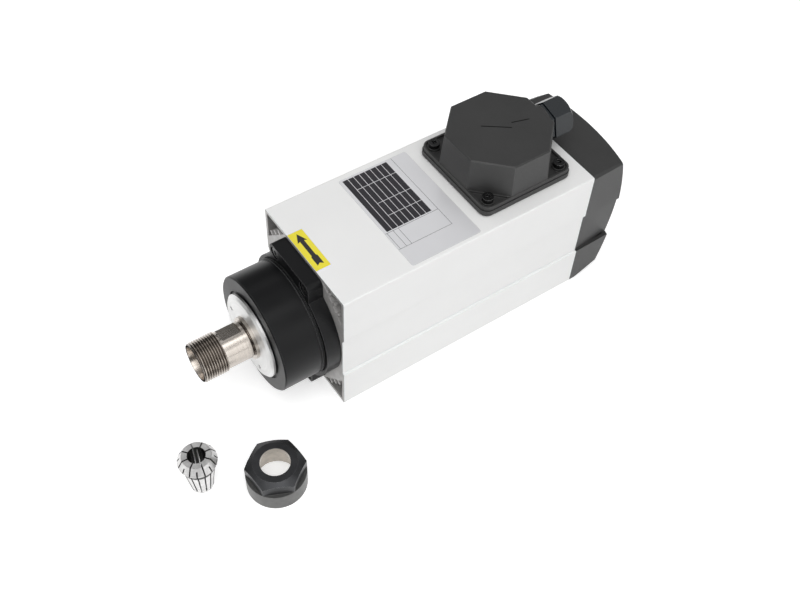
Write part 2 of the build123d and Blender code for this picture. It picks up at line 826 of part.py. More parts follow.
def cover_block(inset):
    """The cover's outer form, or its hollow when inset by the wall."""
    far_bevel = corner_cut(-1, far_bevel_size, far_bevel_growth, far_bevel_start, inset)
    near_bevel = corner_cut(1, cover_top_bevel, 0, 0, inset)
    with BuildPart() as block:
        with BuildSketch(across(rear_face)):
            RectangleRounded(body_width - 2 * inset, body_height - 2 * inset, body_edge_radius)
        with BuildSketch(across(cover_rear)):
            RectangleRounded(body_width - 2 * inset - 2 * cover_draft, body_height - 2 * inset,
                             body_edge_radius)
        loft(ruled=True)
        start_depth = band_depth + inset
        low_depth = start_depth + scoop_bottom_growth * cover_length
        high_depth = start_depth + scoop_top_growth * cover_length
        for side in (-1, 1):
            for y, low, high in ((rear_face, start_depth, start_depth), (cover_rear, low_depth, high_depth)):
                with BuildSketch(across(y)):
                    with BuildLine():
                        Polyline(*band_outline(side, low, high, inset), close=True)
                    make_face()
            loft(ruled=True, mode=Mode.SUBTRACT)
        ramp_lift = inset / cos(radians(cover_ramp_angle))
        ramp_rise = (cover_length - cover_ramp_start) * tan(radians(cover_ramp_angle))
        with BuildSketch(Plane.YZ):
            with BuildLine():
                Polyline((rear_face, ramp_lift - cover_length), (rear_face, ramp_lift),
                         (rear_face + cover_ramp_start, ramp_lift), (cover_rear, ramp_lift + ramp_rise),
                         (cover_rear, ramp_lift - cover_length), close=True)
            make_face()
        extrude(amount=half_width, both=True, mode=Mode.SUBTRACT)
        add(far_bevel.part, mode=Mode.SUBTRACT)
        add(near_bevel.part, mode=Mode.SUBTRACT)
        with Locations(dome_centre):
            Sphere(cover_dome_radius - inset, mode=Mode.INTERSECT)
    return block


cover_hollow = cover_block(cover_wall)
cover_post_face = rear_face + cover_screw_floor
with BuildPart() as rear_cover:
    add(cover_block(0).part)
    add(cover_hollow.part, mode=Mode.SUBTRACT)
    with BuildSketch(across(rear_face)):
        with PolarLocations(cover_screw_circle, 4, start_angle=45):
            Circle(cover_post_radius)
    extrude(amount=-cover_length)
    with BuildSketch(across(rear_face)):
        with PolarLocations(cover_screw_circle, 4, start_angle=45):
            Circle(cover_screw_radius + thread_clearance)
    extrude(amount=-cover_length, mode=Mode.SUBTRACT)
    with BuildSketch(across(cover_post_face)):
        with PolarLocations(cover_screw_circle, 4, start_angle=45):
            Circle(cover_screw_head_radius + running_clearance)
    extrude(amount=-cover_length, mode=Mode.SUBTRACT)
    with BuildSketch(across(fan_front + fan_length)):
        for index in reversed(range(grille_ring_count)):
            inner = grille_first_radius + index * grille_ring_pitch
            Circle(inner + grille_slot_width)
            Circle(inner, mode=Mode.SUBTRACT)
        with PolarLocations(0, grille_spoke_count):
            Rectangle(grille_spoke_width, 2 * cover_length + body_width, mode=Mode.SUBTRACT)
    extrude(amount=-cover_length, mode=Mode.SUBTRACT)
    with Locations(dome_centre):
        Sphere(cover_dome_radius, mode=Mode.INTERSECT)
save(rear_cover, "rear_cover")

cover_screw_planes = [
    Plane(origin=(cover_screw_circle * cos(radians(turn)), cover_post_face,
                  axis_height + cover_screw_circle * sin(radians(turn))),
          x_dir=(1, 0, 0), z_dir=(0, 1, 0))
    for turn in (45, 135, 225, 315)]
cover_screws = screws(cover_screw_planes, cover_screw_radius, cover_screw_floor + cover_screw_depth,
                      cover_screw_head_radius, cover_screw_head_height, cover_screw_radius)
save(cover_screws, "rear_cover_screws")

# Terminal box: gasket, base tray, lid gasket and an eight-sided lid
gasket_top = body_height + box_gasket_thickness
base_top = gasket_top + base_thickness
flange_bottom = base_top + lid_gasket_thickness
flange_top = flange_bottom + lid_flange_thickness
lid_top = flange_bottom + lid_height


def box_plane(height):
    """Level plane at a height, centred on the terminal box."""
    return Plane(origin=(0, box_y, height))


def octagon(width, mode=Mode.ADD):
    """Eight-sided outline with flat sides to the front, back, left and right."""
    RegularPolygon(width / 2, 8, major_radius=False, rotation=22.5, mode=mode)


with BuildPart() as box_gasket:
    with BuildSketch(box_plane(body_height)):
        RectangleRounded(box_width - 2 * box_gasket_inset, box_width - 2 * box_gasket_inset, box_corner_radius)
        Circle(lead_hole_radius, mode=Mode.SUBTRACT)
        with Locations((0, -base_screw_offset), (0, base_screw_offset)):
            Circle(base_screw_radius + thread_clearance, mode=Mode.SUBTRACT)
    extrude(amount=box_gasket_thickness)
save(box_gasket, "box_gasket")

with BuildPart() as terminal_box_base:
    with BuildSketch(box_plane(gasket_top)):
        RectangleRounded(box_width, box_width, box_corner_radius)
    extrude(amount=base_thickness)
    with BuildSketch(box_plane(gasket_top + base_floor)):
        octagon(base_pocket_width)
    extrude(amount=base_thickness, mode=Mode.SUBTRACT)
    with BuildSketch(box_plane(gasket_top)):
        Circle(lead_hole_radius)
        with Locations((0, -base_screw_offset), (0, base_screw_offset)):
            Circle(base_screw_radius + thread_clearance)
    extrude(amount=base_thickness, mode=Mode.SUBTRACT)
    with BuildSketch(box_plane(base_top)):
        with GridLocations(lid_screw_pitch, lid_screw_pitch, 2, 2):
            Circle(lid_screw_radius + thread_clearance)
    extrude(amount=-base_thickness, mode=Mode.SUBTRACT)
    with BuildSketch(box_plane(gasket_top)):
        with Locations((earth_screw_x, earth_screw_y)):
            Circle(earth_screw_radius + thread_clearance)
    extrude(amount=base_floor, mode=Mode.SUBTRACT)
save(terminal_box_base, "terminal_box_base")

base_screw_planes = [Plane(origin=(0, box_y + side * base_screw_offset, gasket_top + base_floor))
                     for side in (-1, 1)]
base_screws = screws(base_screw_planes, base_screw_radius, base_screw_length,
                     base_screw_head_radius, base_screw_head_height, base_screw_radius)
save(base_screws, "base_screws")

with BuildPart() as lid_gasket:
    with BuildSketch(box_plane(base_top)):
        RectangleRounded(box_width - 2 * lid_gasket_inset, box_width - 2 * lid_gasket_inset, box_corner_radius)
        octagon(base_pocket_width, Mode.SUBTRACT)
        with GridLocations(lid_screw_pitch, lid_screw_pitch, 2, 2):
            Circle(lid_screw_radius + thread_clearance, mode=Mode.SUBTRACT)
    extrude(amount=lid_gasket_thickness)
save(lid_gasket, "lid_gasket")

# Lid: a square flange carrying a tapered eight-sided dome, with a boss for the gland
gland_axis_height = flange_bottom + gland_axis_rise
gland_face = box_y + gland_boss_reach
gland_wall_inner = gland_face - gland_boss_wall


def gland_plane(y):
    """Plane across the gland's axis, facing rearwards."""
    return Plane(origin=(0, y, gland_axis_height), x_dir=(-1, 0, 0), z_dir=(0, 1, 0))


with BuildPart() as terminal_box_lid:
    with BuildSketch(box_plane(flange_bottom)):
        octagon(lid_octagon_bottom)
    with BuildSketch(box_plane(lid_top)):
        octagon(lid_octagon_top)
    loft(ruled=True)
    top_edges = terminal_box_lid.edges().group_by(Axis.Z)[-1]
    chamfer(top_edges, lid_edge_radius)
    with BuildSketch(box_plane(flange_bottom)):
        RectangleRounded(lid_flange_width, lid_flange_width, box_corner_radius)
        with GridLocations(lid_screw_pitch, lid_screw_pitch, 2, 2):
            Circle(lid_screw_radius + thread_clearance, mode=Mode.SUBTRACT)
    extrude(amount=lid_flange_thickness)
    with BuildSketch(box_plane(flange_top)):
        RectangleRounded(lid_flange_width - 2 * lid_rim_thickness, lid_flange_width - 2 * lid_rim_thickness,
                         box_corner_radius - lid_rim_thickness)
        octagon(lid_octagon_bottom, Mode.SUBTRACT)
        with GridLocations(lid_screw_pitch, lid_screw_pitch, 2, 2):
            Circle(lid_boss_radius, mode=Mode.SUBTRACT)
    extrude(amount=-lid_pocket_depth, mode=Mode.SUBTRACT)
    with BuildSketch(box_plane(flange_bottom)):
        octagon(lid_octagon_bottom - 2 * lid_wall)
    with BuildSketch(box_plane(lid_top - lid_wall)):
        octagon(lid_octagon_top - 2 * lid_wall)
    loft(ruled=True, mode=Mode.SUBTRACT)
    with BuildSketch(gland_plane(gland_face)):
        Circle(gland_boss_radius)
    extrude(amount=-gland_boss_wall)
    with BuildSketch(gland_plane(gland_face)):
        Circle(gland_thread_radius + thread_clearance)
    extrude(amount=-gland_boss_reach / 2, mode=Mode.SUBTRACT)
save(terminal_box_lid, "terminal_box_lid")

half_pitch = lid_screw_pitch / 2
lid_screw_planes = [Plane(origin=(sx * half_pitch, box_y + sy * half_pitch, flange_top))
                    for sx in (-1, 1) for sy in (-1, 1)]
lid_screws = screws(lid_screw_planes, lid_screw_radius, lid_screw_length, lid_screw_head_radius,
                    lid_screw_head_height, hex_key_radius)
save(lid_screws, "lid_screws")

# Terminal block with a fence between its two rows of studs
block_bottom = gasket_top + base_floor
block_top = block_bottom + block_height
block_plane = Plane(origin=(0, box_y + block_offset_y, block_bottom))
with BuildPart() as terminal_block:
    with BuildSketch(block_plane):
        Rectangle(block_width, block_depth)
    extrude(amount=block_height)
    with BuildSketch(block_plane.offset(block_height)):
        Rectangle(block_width, block_fence_thickness)
        with GridLocations(stud_pitch_x, 0, 4, 1):
            Rectangle(block_fence_thickness, block_depth)
    extrude(amount=block_fence_height)
save(terminal_block, "terminal_block")

with BuildPart() as terminal_studs:
    with BuildSketch(block_plane.offset(block_height)):
        with GridLocations(stud_pitch_x, stud_pitch_y, 3, 2):
            Circle(stud_radius)
    extrude(amount=stud_height)
save(terminal_studs, "terminal_studs")

with BuildPart() as terminal_nuts:
    with BuildSketch(block_plane.offset(block_height)):
        with GridLocations(stud_pitch_x, stud_pitch_y, 3, 2):
            RegularPolygon(stud_nut_width / 2, 6, major_radius=False)
            Circle(stud_radius + seat_clearance, mode=Mode.SUBTRACT)
    extrude(amount=stud_nut_height)
save(terminal_nuts, "terminal_nuts")

earth_plane = Plane(origin=(earth_screw_x, box_y + earth_screw_y, block_bottom))
earth_screw = screws([earth_plane], earth_screw_radius, base_floor - thread_clearance,
                     earth_screw_head_radius, earth_screw_head_height, hex_key_radius)
save(earth_screw, "earth_screw")

# Leads that rise from the windings to the terminal block
winding_top = axis_height + winding_outer_radius
with BuildPart() as winding_leads:
    with BuildSketch(Plane(origin=(0, box_y, winding_top))):
        with GridLocations(lead_pitch, 0, 3, 1):
            Circle(lead_radius)
    extrude(amount=block_bottom + block_height / 2 - winding_top)
save(winding_leads, "winding_leads")

# Cable gland: body, locknut inside the box, clamping nut and seal
collar_rear = gland_face + gland_collar_length
neck_rear = collar_rear + gland_neck_length
locknut_front = gland_wall_inner - gland_locknut_thickness
with BuildPart() as gland_body:
    with BuildSketch(gland_plane(gland_face)):
        RegularPolygon(gland_collar_width / 2, 6, major_radius=False, rotation=gland_nut_turn)
    extrude(amount=gland_collar_length)
    with BuildSketch(gland_plane(locknut_front)):
        Circle(gland_thread_radius)
    extrude(amount=gland_face - locknut_front)
    with BuildSketch(gland_plane(collar_rear)):
        Circle(gland_neck_radius)
    extrude(amount=gland_neck_length)
    with BuildSketch(gland_plane(locknut_front)):
        Circle(gland_bore_radius)
    extrude(amount=neck_rear - locknut_front, mode=Mode.SUBTRACT)
save(gland_body, "gland_body")

with BuildPart() as gland_locknut:
    with BuildSketch(gland_plane(locknut_front)):
        RegularPolygon(gland_locknut_width / 2, 6, major_radius=False)
        Circle(gland_thread_radius + seat_clearance, mode=Mode.SUBTRACT)
    extrude(amount=gland_locknut_thickness)
save(gland_locknut, "gland_locknut")

nut_front = collar_rear + gland_nut_gap
hex_rear = nut_front + gland_nut_hex_length
dome_rear = hex_rear + gland_nut_dome_length
hex_reach = gland_nut_width / 2 / cos(radians(30))
gland_axis = Axis((0, 0, gland_axis_height), (0, 1, 0))
gland_profile = Plane(origin=(0, 0, gland_axis_height), x_dir=(0, 1, 0), z_dir=(1, 0, 0))
with BuildPart() as gland_nut:
    with BuildSketch(gland_plane(nut_front)):
        RegularPolygon(gland_nut_width / 2, 6, major_radius=False, rotation=gland_nut_turn)
    extrude(amount=dome_rear - nut_front)
    with BuildSketch(gland_profile):
        with BuildLine():
            dome_start = (hex_rear, hex_reach)
            dome_middle = (dome_rear - gland_nut_dome_inset,
                           (hex_reach + gland_nut_mouth_radius) / 2 + gland_nut_dome_bulge)
            dome_end = (dome_rear, gland_nut_mouth_radius)
            Line((nut_front, 0), (nut_front, hex_reach))
            Line((nut_front, hex_reach), dome_start)
            ThreePointArc(dome_start, dome_middle, dome_end)
            Line(dome_end, (dome_rear, 0))
            Line((dome_rear, 0), (nut_front, 0))
        make_face()
    revolve(axis=gland_axis, mode=Mode.INTERSECT)
    with BuildSketch(gland_plane(nut_front)):
        Circle(gland_nut_bore_radius)
    extrude(amount=dome_rear - nut_front, mode=Mode.SUBTRACT)
save(gland_nut, "gland_nut")

seal_rear = dome_rear + gland_seal_proud
with BuildPart() as gland_seal:
    with BuildSketch(gland_profile):
        with BuildLine():
            Polyline((neck_rear - gland_seal_length, gland_seal_bore),
                     (neck_rear - gland_seal_length, gland_bore_radius - seat_clearance),
                     (neck_rear, gland_bore_radius - seat_clearance),
                     (neck_rear, gland_seal_head_radius),
                     (seal_rear, gland_seal_head_radius),
                     (seal_rear, gland_seal_bore), close=True)
        make_face()
    revolve(axis=gland_axis)
save(gland_seal, "gland_seal")

# Labels on the body's top face
with BuildPart() as arrow_label:
    with BuildSketch(Plane(origin=(arrow_label_centre_x, front_face + arrow_label_margin + arrow_label_depth / 2,
                                   body_height))):
        Rectangle(arrow_label_width, arrow_label_depth)
    extrude(amount=label_thickness)
save(arrow_label, "arrow_label")

with BuildPart() as name_plate:
    with BuildSketch(Plane(origin=(plate_centre_x, front_face + plate_start + plate_depth / 2, body_height))):
        RectangleRounded(plate_width, plate_depth, label_corner_radius)
    extrude(amount=label_thickness)
save(name_plate, "blank_plate")

# Collet: a slotted cone with a grooved rim, standing on its small end
collet_y = front_face - collet_from_front
collet_axis = Axis((collet_x, collet_y, 0), (0, 0, 1))
rim_top = collet_length - collet_face_height
groove_top = rim_top - collet_rim_height
groove_bottom = groove_top - collet_groove_width
tail_top_radius = collet_tail_radius + groove_bottom * tan(radians(socket_half_angle))
slot_reach = 2 * collet_rim_radius
with BuildPart() as collet:
    with BuildSketch(Plane(origin=(collet_x, collet_y, 0), x_dir=(1, 0, 0), z_dir=(0, -1, 0))):
        with BuildLine():
            Polyline((collet_bore_radius, 0), (collet_tail_radius, 0), (tail_top_radius, groove_bottom),
                     (collet_groove_radius, groove_bottom), (collet_groove_radius, groove_top),
                     (collet_rim_radius, groove_top), (collet_rim_radius, rim_top),
                     (collet_face_radius, collet_length), (collet_bore_radius, collet_length), close=True)
        make_face()
    revolve(axis=collet_axis)
    for start, turn in ((-collet_slot_margin, collet_turn + 180 / collet_slot_count),
                        (collet_slot_margin, collet_turn)):
        with BuildSketch(Plane(origin=(collet_x, collet_y, start))):
            with PolarLocations(slot_reach / 2, collet_slot_count, start_angle=turn):
                Rectangle(slot_reach, collet_slot_width)
        extrude(amount=collet_length, mode=Mode.SUBTRACT)
save(collet, "collet")

# Clamping nut: six flats that run out into a round skirt, with a cone and a thread inside
nut_y = front_face - nut_from_front
nut_axis = Axis((nut_x, nut_y, 0), (0, 0, 1))
nut_section = Plane(origin=(nut_x, nut_y, 0), x_dir=(1, 0, 0), z_dir=(0, -1, 0))
crown_drop = (nut_radius - nut_crown_radius) * tan(radians(nut_crown_angle))
cone_length = (nut_thread_radius - nut_hole_radius) * tan(radians(90 - nut_cone_angle))
with BuildPart() as clamping_nut:
    with BuildSketch(nut_section):
        with BuildLine():
            Polyline((0, 0), (nut_radius, 0), (nut_radius, nut_height - crown_drop),
                     (nut_crown_radius, nut_height), (0, nut_height), close=True)
        make_face()
    revolve(axis=nut_axis)
    with BuildSketch(Plane(origin=(nut_x, nut_y, nut_skirt_height))):
        Circle(nut_radius + nut_flat_run_out)
        RegularPolygon(nut_hex_width / 2, 6, major_radius=False, rotation=nut_turn, mode=Mode.SUBTRACT)
    extrude(amount=nut_height, mode=Mode.SUBTRACT)
    with BuildSketch(nut_section):
        with BuildLine():
            Polyline((0, 0), (nut_entry_radius, 0), (nut_thread_radius, nut_entry_radius - nut_thread_radius),
                     (nut_thread_radius, nut_height - nut_lip_length - cone_length),
                     (nut_hole_radius, nut_height - nut_lip_length), (nut_hole_radius, nut_height),
                     (0, nut_height), close=True)
        make_face()
    revolve(axis=nut_axis, mode=Mode.SUBTRACT)
save(clamping_nut, "clamping_nut")
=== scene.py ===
"""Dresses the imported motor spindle: finishes, printed films, the nose thread, stage, lamps and camera."""
import math

import bmesh
import bpy
from bpy.props import FloatProperty, FloatVectorProperty, IntProperty, PointerProperty
from mathutils import Matrix, Vector


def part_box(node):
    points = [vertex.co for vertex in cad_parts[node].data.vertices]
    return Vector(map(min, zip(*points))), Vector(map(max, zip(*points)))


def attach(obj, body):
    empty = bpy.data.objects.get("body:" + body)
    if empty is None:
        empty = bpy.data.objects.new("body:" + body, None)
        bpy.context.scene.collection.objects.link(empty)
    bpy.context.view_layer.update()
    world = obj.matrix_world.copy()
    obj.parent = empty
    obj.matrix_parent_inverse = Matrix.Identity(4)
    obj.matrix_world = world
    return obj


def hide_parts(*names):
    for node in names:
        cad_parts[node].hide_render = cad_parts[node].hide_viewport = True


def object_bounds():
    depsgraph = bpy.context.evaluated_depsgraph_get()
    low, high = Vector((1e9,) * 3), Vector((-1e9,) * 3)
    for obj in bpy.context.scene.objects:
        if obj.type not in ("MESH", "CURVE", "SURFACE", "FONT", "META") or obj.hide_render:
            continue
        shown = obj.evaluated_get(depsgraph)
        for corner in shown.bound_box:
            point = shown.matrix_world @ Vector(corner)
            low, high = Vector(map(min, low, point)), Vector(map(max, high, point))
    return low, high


bl_info = {
    "name": "Motor spindle dressing",
    "version": (1, 0, 0),
    "blender": (4, 5, 0),
    "location": "View3D > Sidebar > Spindle",
    "description": "Finishes and fine details of a square-bodied motor spindle",
    "category": "Object",
}

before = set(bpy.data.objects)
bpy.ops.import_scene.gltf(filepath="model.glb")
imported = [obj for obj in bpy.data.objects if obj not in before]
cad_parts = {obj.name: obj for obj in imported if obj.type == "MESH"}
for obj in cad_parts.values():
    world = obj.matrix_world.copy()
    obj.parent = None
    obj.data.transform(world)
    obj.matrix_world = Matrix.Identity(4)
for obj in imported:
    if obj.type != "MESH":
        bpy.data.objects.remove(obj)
cad_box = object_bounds()

MM = 0.001
BODY_LOW, BODY_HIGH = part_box("body_extrusion")
AXIS_HEIGHT = (BODY_LOW.z + BODY_HIGH.z) / 2
SHAFT_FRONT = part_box("spindle_shaft")[0].y
LABEL_LOW, LABEL_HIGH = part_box("arrow_label")
PLATE_LOW, PLATE_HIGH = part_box("blank_plate")
LID_LOW, LID_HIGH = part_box("terminal_box_lid")
NUT_LOW, NUT_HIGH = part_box("clamping_nut")
COLLET_LOW, COLLET_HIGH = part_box("collet")
UPRIGHT = (0.0, 0.0, 1.0)
AXIS = ((0.0, 0.0, AXIS_HEIGHT), (0.0, 1.0, 0.0))


# Settings that a user would change
def length(name, description, default):
    """A size in metres, shown in the scene's unit."""
    return FloatProperty(name=name, description=description, default=default, unit="LENGTH", precision=5)


def tint(name, description, default):
    """A linear colour."""
    return FloatVectorProperty(name=name, description=description, default=default, subtype="COLOR",
                               size=3, min=0.0, max=1.0)


class SpindleColours(bpy.types.PropertyGroup):
    """Base colours of the finishes."""
    paint: tint("Body paint", "Colour of the painted body", (0.86, 0.86, 0.855))
    anodised: tint("Anodised black", "Colour of the flange and nose", (0.0060, 0.0062, 0.0068))
    moulded: tint("Moulded black", "Colour of the plastic covers", (0.032, 0.032, 0.032))
    gland: tint("Gland nylon", "Colour of the cable gland", (0.009, 0.012, 0.015))
    steel: tint("Ground steel", "Colour of the shaft", (0.54, 0.495, 0.45))
    wear_and_painted_edge: tint("Bore steel", "Colour of the clamping nut's bright bore", (0.42, 0.385, 0.34))
    bright: tint("Turned aluminium", "Colour of the nose ring", (0.70, 0.70, 0.695))
    raw: tint("Raw aluminium", "Colour of the unpainted insides and ends of the body", (0.50, 0.49, 0.48))
    collet: tint("Collet steel", "Colour of the collet", (0.66, 0.655, 0.65))
    blackened: tint("Blackened steel", "Colour of the clamping nut", (0.050, 0.051, 0.054))
    yellow: tint("Label yellow", "Colour of the arrow label", (0.84, 0.73, 0.045))
    silver: tint("Plate silver", "Colour of the blank plate", (0.76, 0.76, 0.78))
    ink: tint("Ink", "Colour of the printed shapes", (0.018, 0.017, 0.022))


class SpindleSizes(bpy.types.PropertyGroup):
    """Sizes of the fine details."""
    thread_pitch: length("Thread pitch", "Pitch of the nose thread", 1.5 * MM)
    thread_depth: length("Thread depth", "Depth of the nose thread", 0.92 * MM)
    thread_length: length("Thread length", "Length of the nose thread", 15.6 * MM)
    thread_radius: length("Thread radius", "Outer radius of the nose thread", 12.5 * MM)
    edge_round: length("Edge rounding", "Rounding of machined and moulded edges", 0.3 * MM)
    ink_height: length("Ink height", "Height of printed shapes over their film", 0.03 * MM)
    groove_width: length("Groove width", "Width of the two grooves on the lid", 0.7 * MM)


class SpindleStage(bpy.types.PropertyGroup):
    """Lamps, floor and camera."""
    key_power: FloatProperty(name="Key lamp", description="Power of the large lamp overhead",
                             default=8.0, min=0.0, unit="POWER")
    side_power: FloatProperty(name="Side lamp", description="Power of the lamp beside the near face",
                              default=2.8, min=0.0, unit="POWER")
    nose_power: FloatProperty(name="Nose lamp", description="Power of the lamp before the nose",
                              default=1.0, min=0.0, unit="POWER")
    sky_level: FloatProperty(name="Sky level", default=0.37, min=0.0,
                             description="Mean strength of the striped light from the sky")
    floor_glow: FloatProperty(name="Floor glow", default=0.50, min=0.0,
                              description="Light added to the floor that the camera sees")
    lens: FloatProperty(name="Lens", description="Focal length of the camera in millimetres",
                        default=47.395, min=10.0)
    turn_facets: IntProperty(name="Turn facets", description="Facets of a turned surface",
                             default=144, min=24)


# Shader nodes: sockets of a Mix node, and the span that noise fills
MIX_FACTOR = 0
MIX_VALUES = (2, 3)
MIX_COLORS = (6, 7)
NOISE_SPAN = (0.3, 0.7)
GLOSS_SWING = 0.08
BEVEL_SAMPLES = 6


def new_group(name, inputs, outputs):
    """An empty shader node group with named sockets."""
    group = bpy.data.node_groups.new(name, "ShaderNodeTree")
    for socket, kind, value in inputs:
        made = group.interface.new_socket(name=socket, in_out="INPUT", socket_type=kind)
        made.default_value = value
    for socket, kind in outputs:
        group.interface.new_socket(name=socket, in_out="OUTPUT", socket_type=kind)
    return group, group.nodes.new("NodeGroupInput").outputs, group.nodes.new("NodeGroupOutput").inputs


def node(tree, kind, inputs=(), **settings):
    """A node with its properties set and its inputs linked or given a value."""
    made = tree.nodes.new(kind)
    for key, value in settings.items():
        setattr(made, key, value)
    for socket, source in inputs:
        if isinstance(source, bpy.types.NodeSocket):
            tree.links.new(source, made.inputs[socket])
        else:
            made.inputs[socket].default_value = source
    return made


def number(tree, operation, *values):
    """A number worked out from numbers."""
    return node(tree, "ShaderNodeMath", enumerate(values), operation=operation).outputs[0]


def vector(tree, operation, *values):
    """A vector worked out from vectors."""
    return node(tree, "ShaderNodeVectorMath", enumerate(values), operation=operation).outputs["Vector"]


def measure(tree, operation, *values):
    """A number worked out from vectors, such as a length."""
    return node(tree, "ShaderNodeVectorMath", enumerate(values), operation=operation).outputs["Value"]


def scaled(tree, color, factor):
    """A colour made lighter or darker by a factor."""
    return node(tree, "ShaderNodeVectorMath", [(0, color), ("Scale", factor)],
                operation="SCALE").outputs["Vector"]


def split(tree, source):
    """The three shares of a vector."""
    return node(tree, "ShaderNodeSeparateXYZ", [(0, source)]).outputs


def remap(tree, value, source, target):
    """A number carried from one span to another and held inside it."""
    return node(tree, "ShaderNodeMapRange", [
        ("Value", value), ("From Min", source[0]), ("From Max", source[1]), ("To Min", target[0]),
        ("To Max", target[1])]).outputs["Result"]


def mix_values(tree, mask, low, high):
    """One number where a mask is 0 and another where it is 1."""
    return node(tree, "ShaderNodeMix", [(MIX_FACTOR, mask), (MIX_VALUES[0], low),
                                        (MIX_VALUES[1], high)]).outputs[0]


def mix_colors(tree, mask, low, high):
    """One colour where a mask is 0 and another where it is 1."""
    return node(tree, "ShaderNodeMix", [(MIX_FACTOR, mask), (MIX_COLORS[0], low), (MIX_COLORS[1], high)],
                data_type="RGBA").outputs[2]


def here(tree, name="Object"):
    """The place or the normal of what is shaded, in the object's own axes."""
    return node(tree, "ShaderNodeTexCoord").outputs[name]


def from_centre(tree, centre):
    """The way from a centre to what is shaded."""
    return vector(tree, "SUBTRACT", here(tree), centre)


def noise(tree, place, scale, detail=2.0):
    """Soft noise from 0 to 1."""
    return node(tree, "ShaderNodeTexNoise", [("Vector", place), ("Scale", scale),
                                             ("Detail", detail)]).outputs["Fac"]


def mottle_group():
    """Slow changes of a colour, with a matching mask for its gloss."""
    group, given, out = new_group(
        "Mottle",
        [("Color", "NodeSocketColor", (0.5, 0.5, 0.5, 1.0)), ("Amount", "NodeSocketFloat", 0.1),
         ("Scale", "NodeSocketFloat", 60.0)],
        [("Color", "NodeSocketColor"), ("Mask", "NodeSocketFloat")])
    patches = noise(group, here(group), given["Scale"], detail=4.0)
    spread = remap(group, patches, NOISE_SPAN, (-1.0, 1.0))
    gain = number(group, "MULTIPLY_ADD", spread, given["Amount"], 1.0)
    group.links.new(scaled(group, given["Color"], gain), out["Color"])
    group.links.new(patches, out["Mask"])
    return group


def grain_group():
    """A fine moulded or sprayed grain, as a height."""
    group, given, out = new_group("Fine grain", [("Scale", "NodeSocketFloat", 2000.0)],
                                  [("Height", "NodeSocketFloat")])
    group.links.new(noise(group, here(group), given["Scale"]), out["Height"])
    return group


def turned_group():
    """Fine rings left by turning about an axis, and where a point lies from it."""
    wide_share = 0.2
    group, given, out = new_group(
        "Turned rings",
        [("Centre", "NodeSocketVector", (0.0, 0.0, 0.0)), ("Axis", "NodeSocketVector", (0.0, 1.0, 0.0)),
         ("Scale", "NodeSocketFloat", 3000.0)],
        [("Height", "NodeSocketFloat"), ("Mask", "NodeSocketFloat"), ("Radius", "NodeSocketFloat"),
         ("Depth", "NodeSocketFloat")])
    shifted = from_centre(group, given["Centre"])
    depth = measure(group, "DOT_PRODUCT", shifted, given["Axis"])
    radius = measure(group, "LENGTH", vector(group, "CROSS_PRODUCT", shifted, given["Axis"]))
    spot = node(group, "ShaderNodeCombineXYZ", [("X", radius), ("Y", depth)]).outputs[0]
    wide_scale = number(group, "MULTIPLY", given["Scale"], wide_share)
    group.links.new(noise(group, spot, given["Scale"], detail=3.0), out["Height"])
    group.links.new(noise(group, spot, wide_scale), out["Mask"])
    group.links.new(radius, out["Radius"])
    group.links.new(depth, out["Depth"])
    return group


def edge_group():
    """A mask of the outer edges, where finishes paint highlight lines and shade lines."""
    group, given, out = new_group("Edge mask", [("Reach", "NodeSocketFloat", 0.5 * MM)],
                                  [("Mask", "NodeSocketFloat")])
    rounded = node(group, "ShaderNodeBevel", [("Radius", given["Reach"])], samples=BEVEL_SAMPLES)
    flat = node(group, "ShaderNodeNewGeometry").outputs["Normal"]
    match = measure(group, "DOT_PRODUCT", rounded.outputs["Normal"], flat)
    group.links.new(remap(group, match, (0.97, 0.80), (0.0, 1.0)), out["Mask"])
    return group


def inward_group():
    """A mask of the faces that look towards an axis, such as those of a bore."""
    group, given, out = new_group(
        "Inward mask",
        [("Centre", "NodeSocketVector", (0.0, 0.0, 0.0)), ("Axis", "NodeSocketVector", UPRIGHT)],
        [("Mask", "NodeSocketFloat")])
    around = vector(group, "CROSS_PRODUCT", from_centre(group, given["Centre"]), given["Axis"])
    outward = vector(group, "NORMALIZE", vector(group, "CROSS_PRODUCT", given["Axis"], around))
    facing = measure(group, "DOT_PRODUCT", outward, here(group, "Normal"))
    group.links.new(remap(group, facing, (-0.1, -0.3), (0.0, 1.0)), out["Mask"])
    return group


def band_group():
    """A mask of what lies between two heights."""
    group, given, out = new_group(
        "Band mask", [("Low", "NodeSocketFloat", 0.0), ("High", "NodeSocketFloat", 0.0)],
        [("Mask", "NodeSocketFloat")])
    height = split(group, here(group))["Z"]
    above = number(group, "GREATER_THAN", height, given["Low"])
    below = number(group, "LESS_THAN", height, given["High"])
    group.links.new(number(group, "MULTIPLY", above, below), out["Mask"])
    return group


def slot_shade_group():
    """A mask of a collet's slot walls, bore and groove, which are painted near black: painted shade."""
    wall_match = 0.7
    group, given, out = new_group(
        "Slot shade mask",
        [("Centre", "NodeSocketVector", (0.0, 0.0, 0.0)), ("Groove Low", "NodeSocketFloat", 0.0),
         ("Groove High", "NodeSocketFloat", 0.0)],
        [("Mask", "NodeSocketFloat")])
    around = vector(group, "CROSS_PRODUCT", from_centre(group, given["Centre"]), UPRIGHT)
    facing = measure(group, "DOT_PRODUCT", vector(group, "NORMALIZE", around), here(group, "Normal"))
    wall = number(group, "GREATER_THAN", number(group, "ABSOLUTE", facing), wall_match)
    bore = placed(group, "inward", [("Centre", given["Centre"])])
    groove = placed(group, "band", [("Low", given["Groove Low"]), ("High", given["Groove High"])])
    inner = number(group, "MAXIMUM", wall, bore.outputs["Mask"])
    group.links.new(number(group, "MAXIMUM", inner, groove.outputs["Mask"]), out["Mask"])
    return group


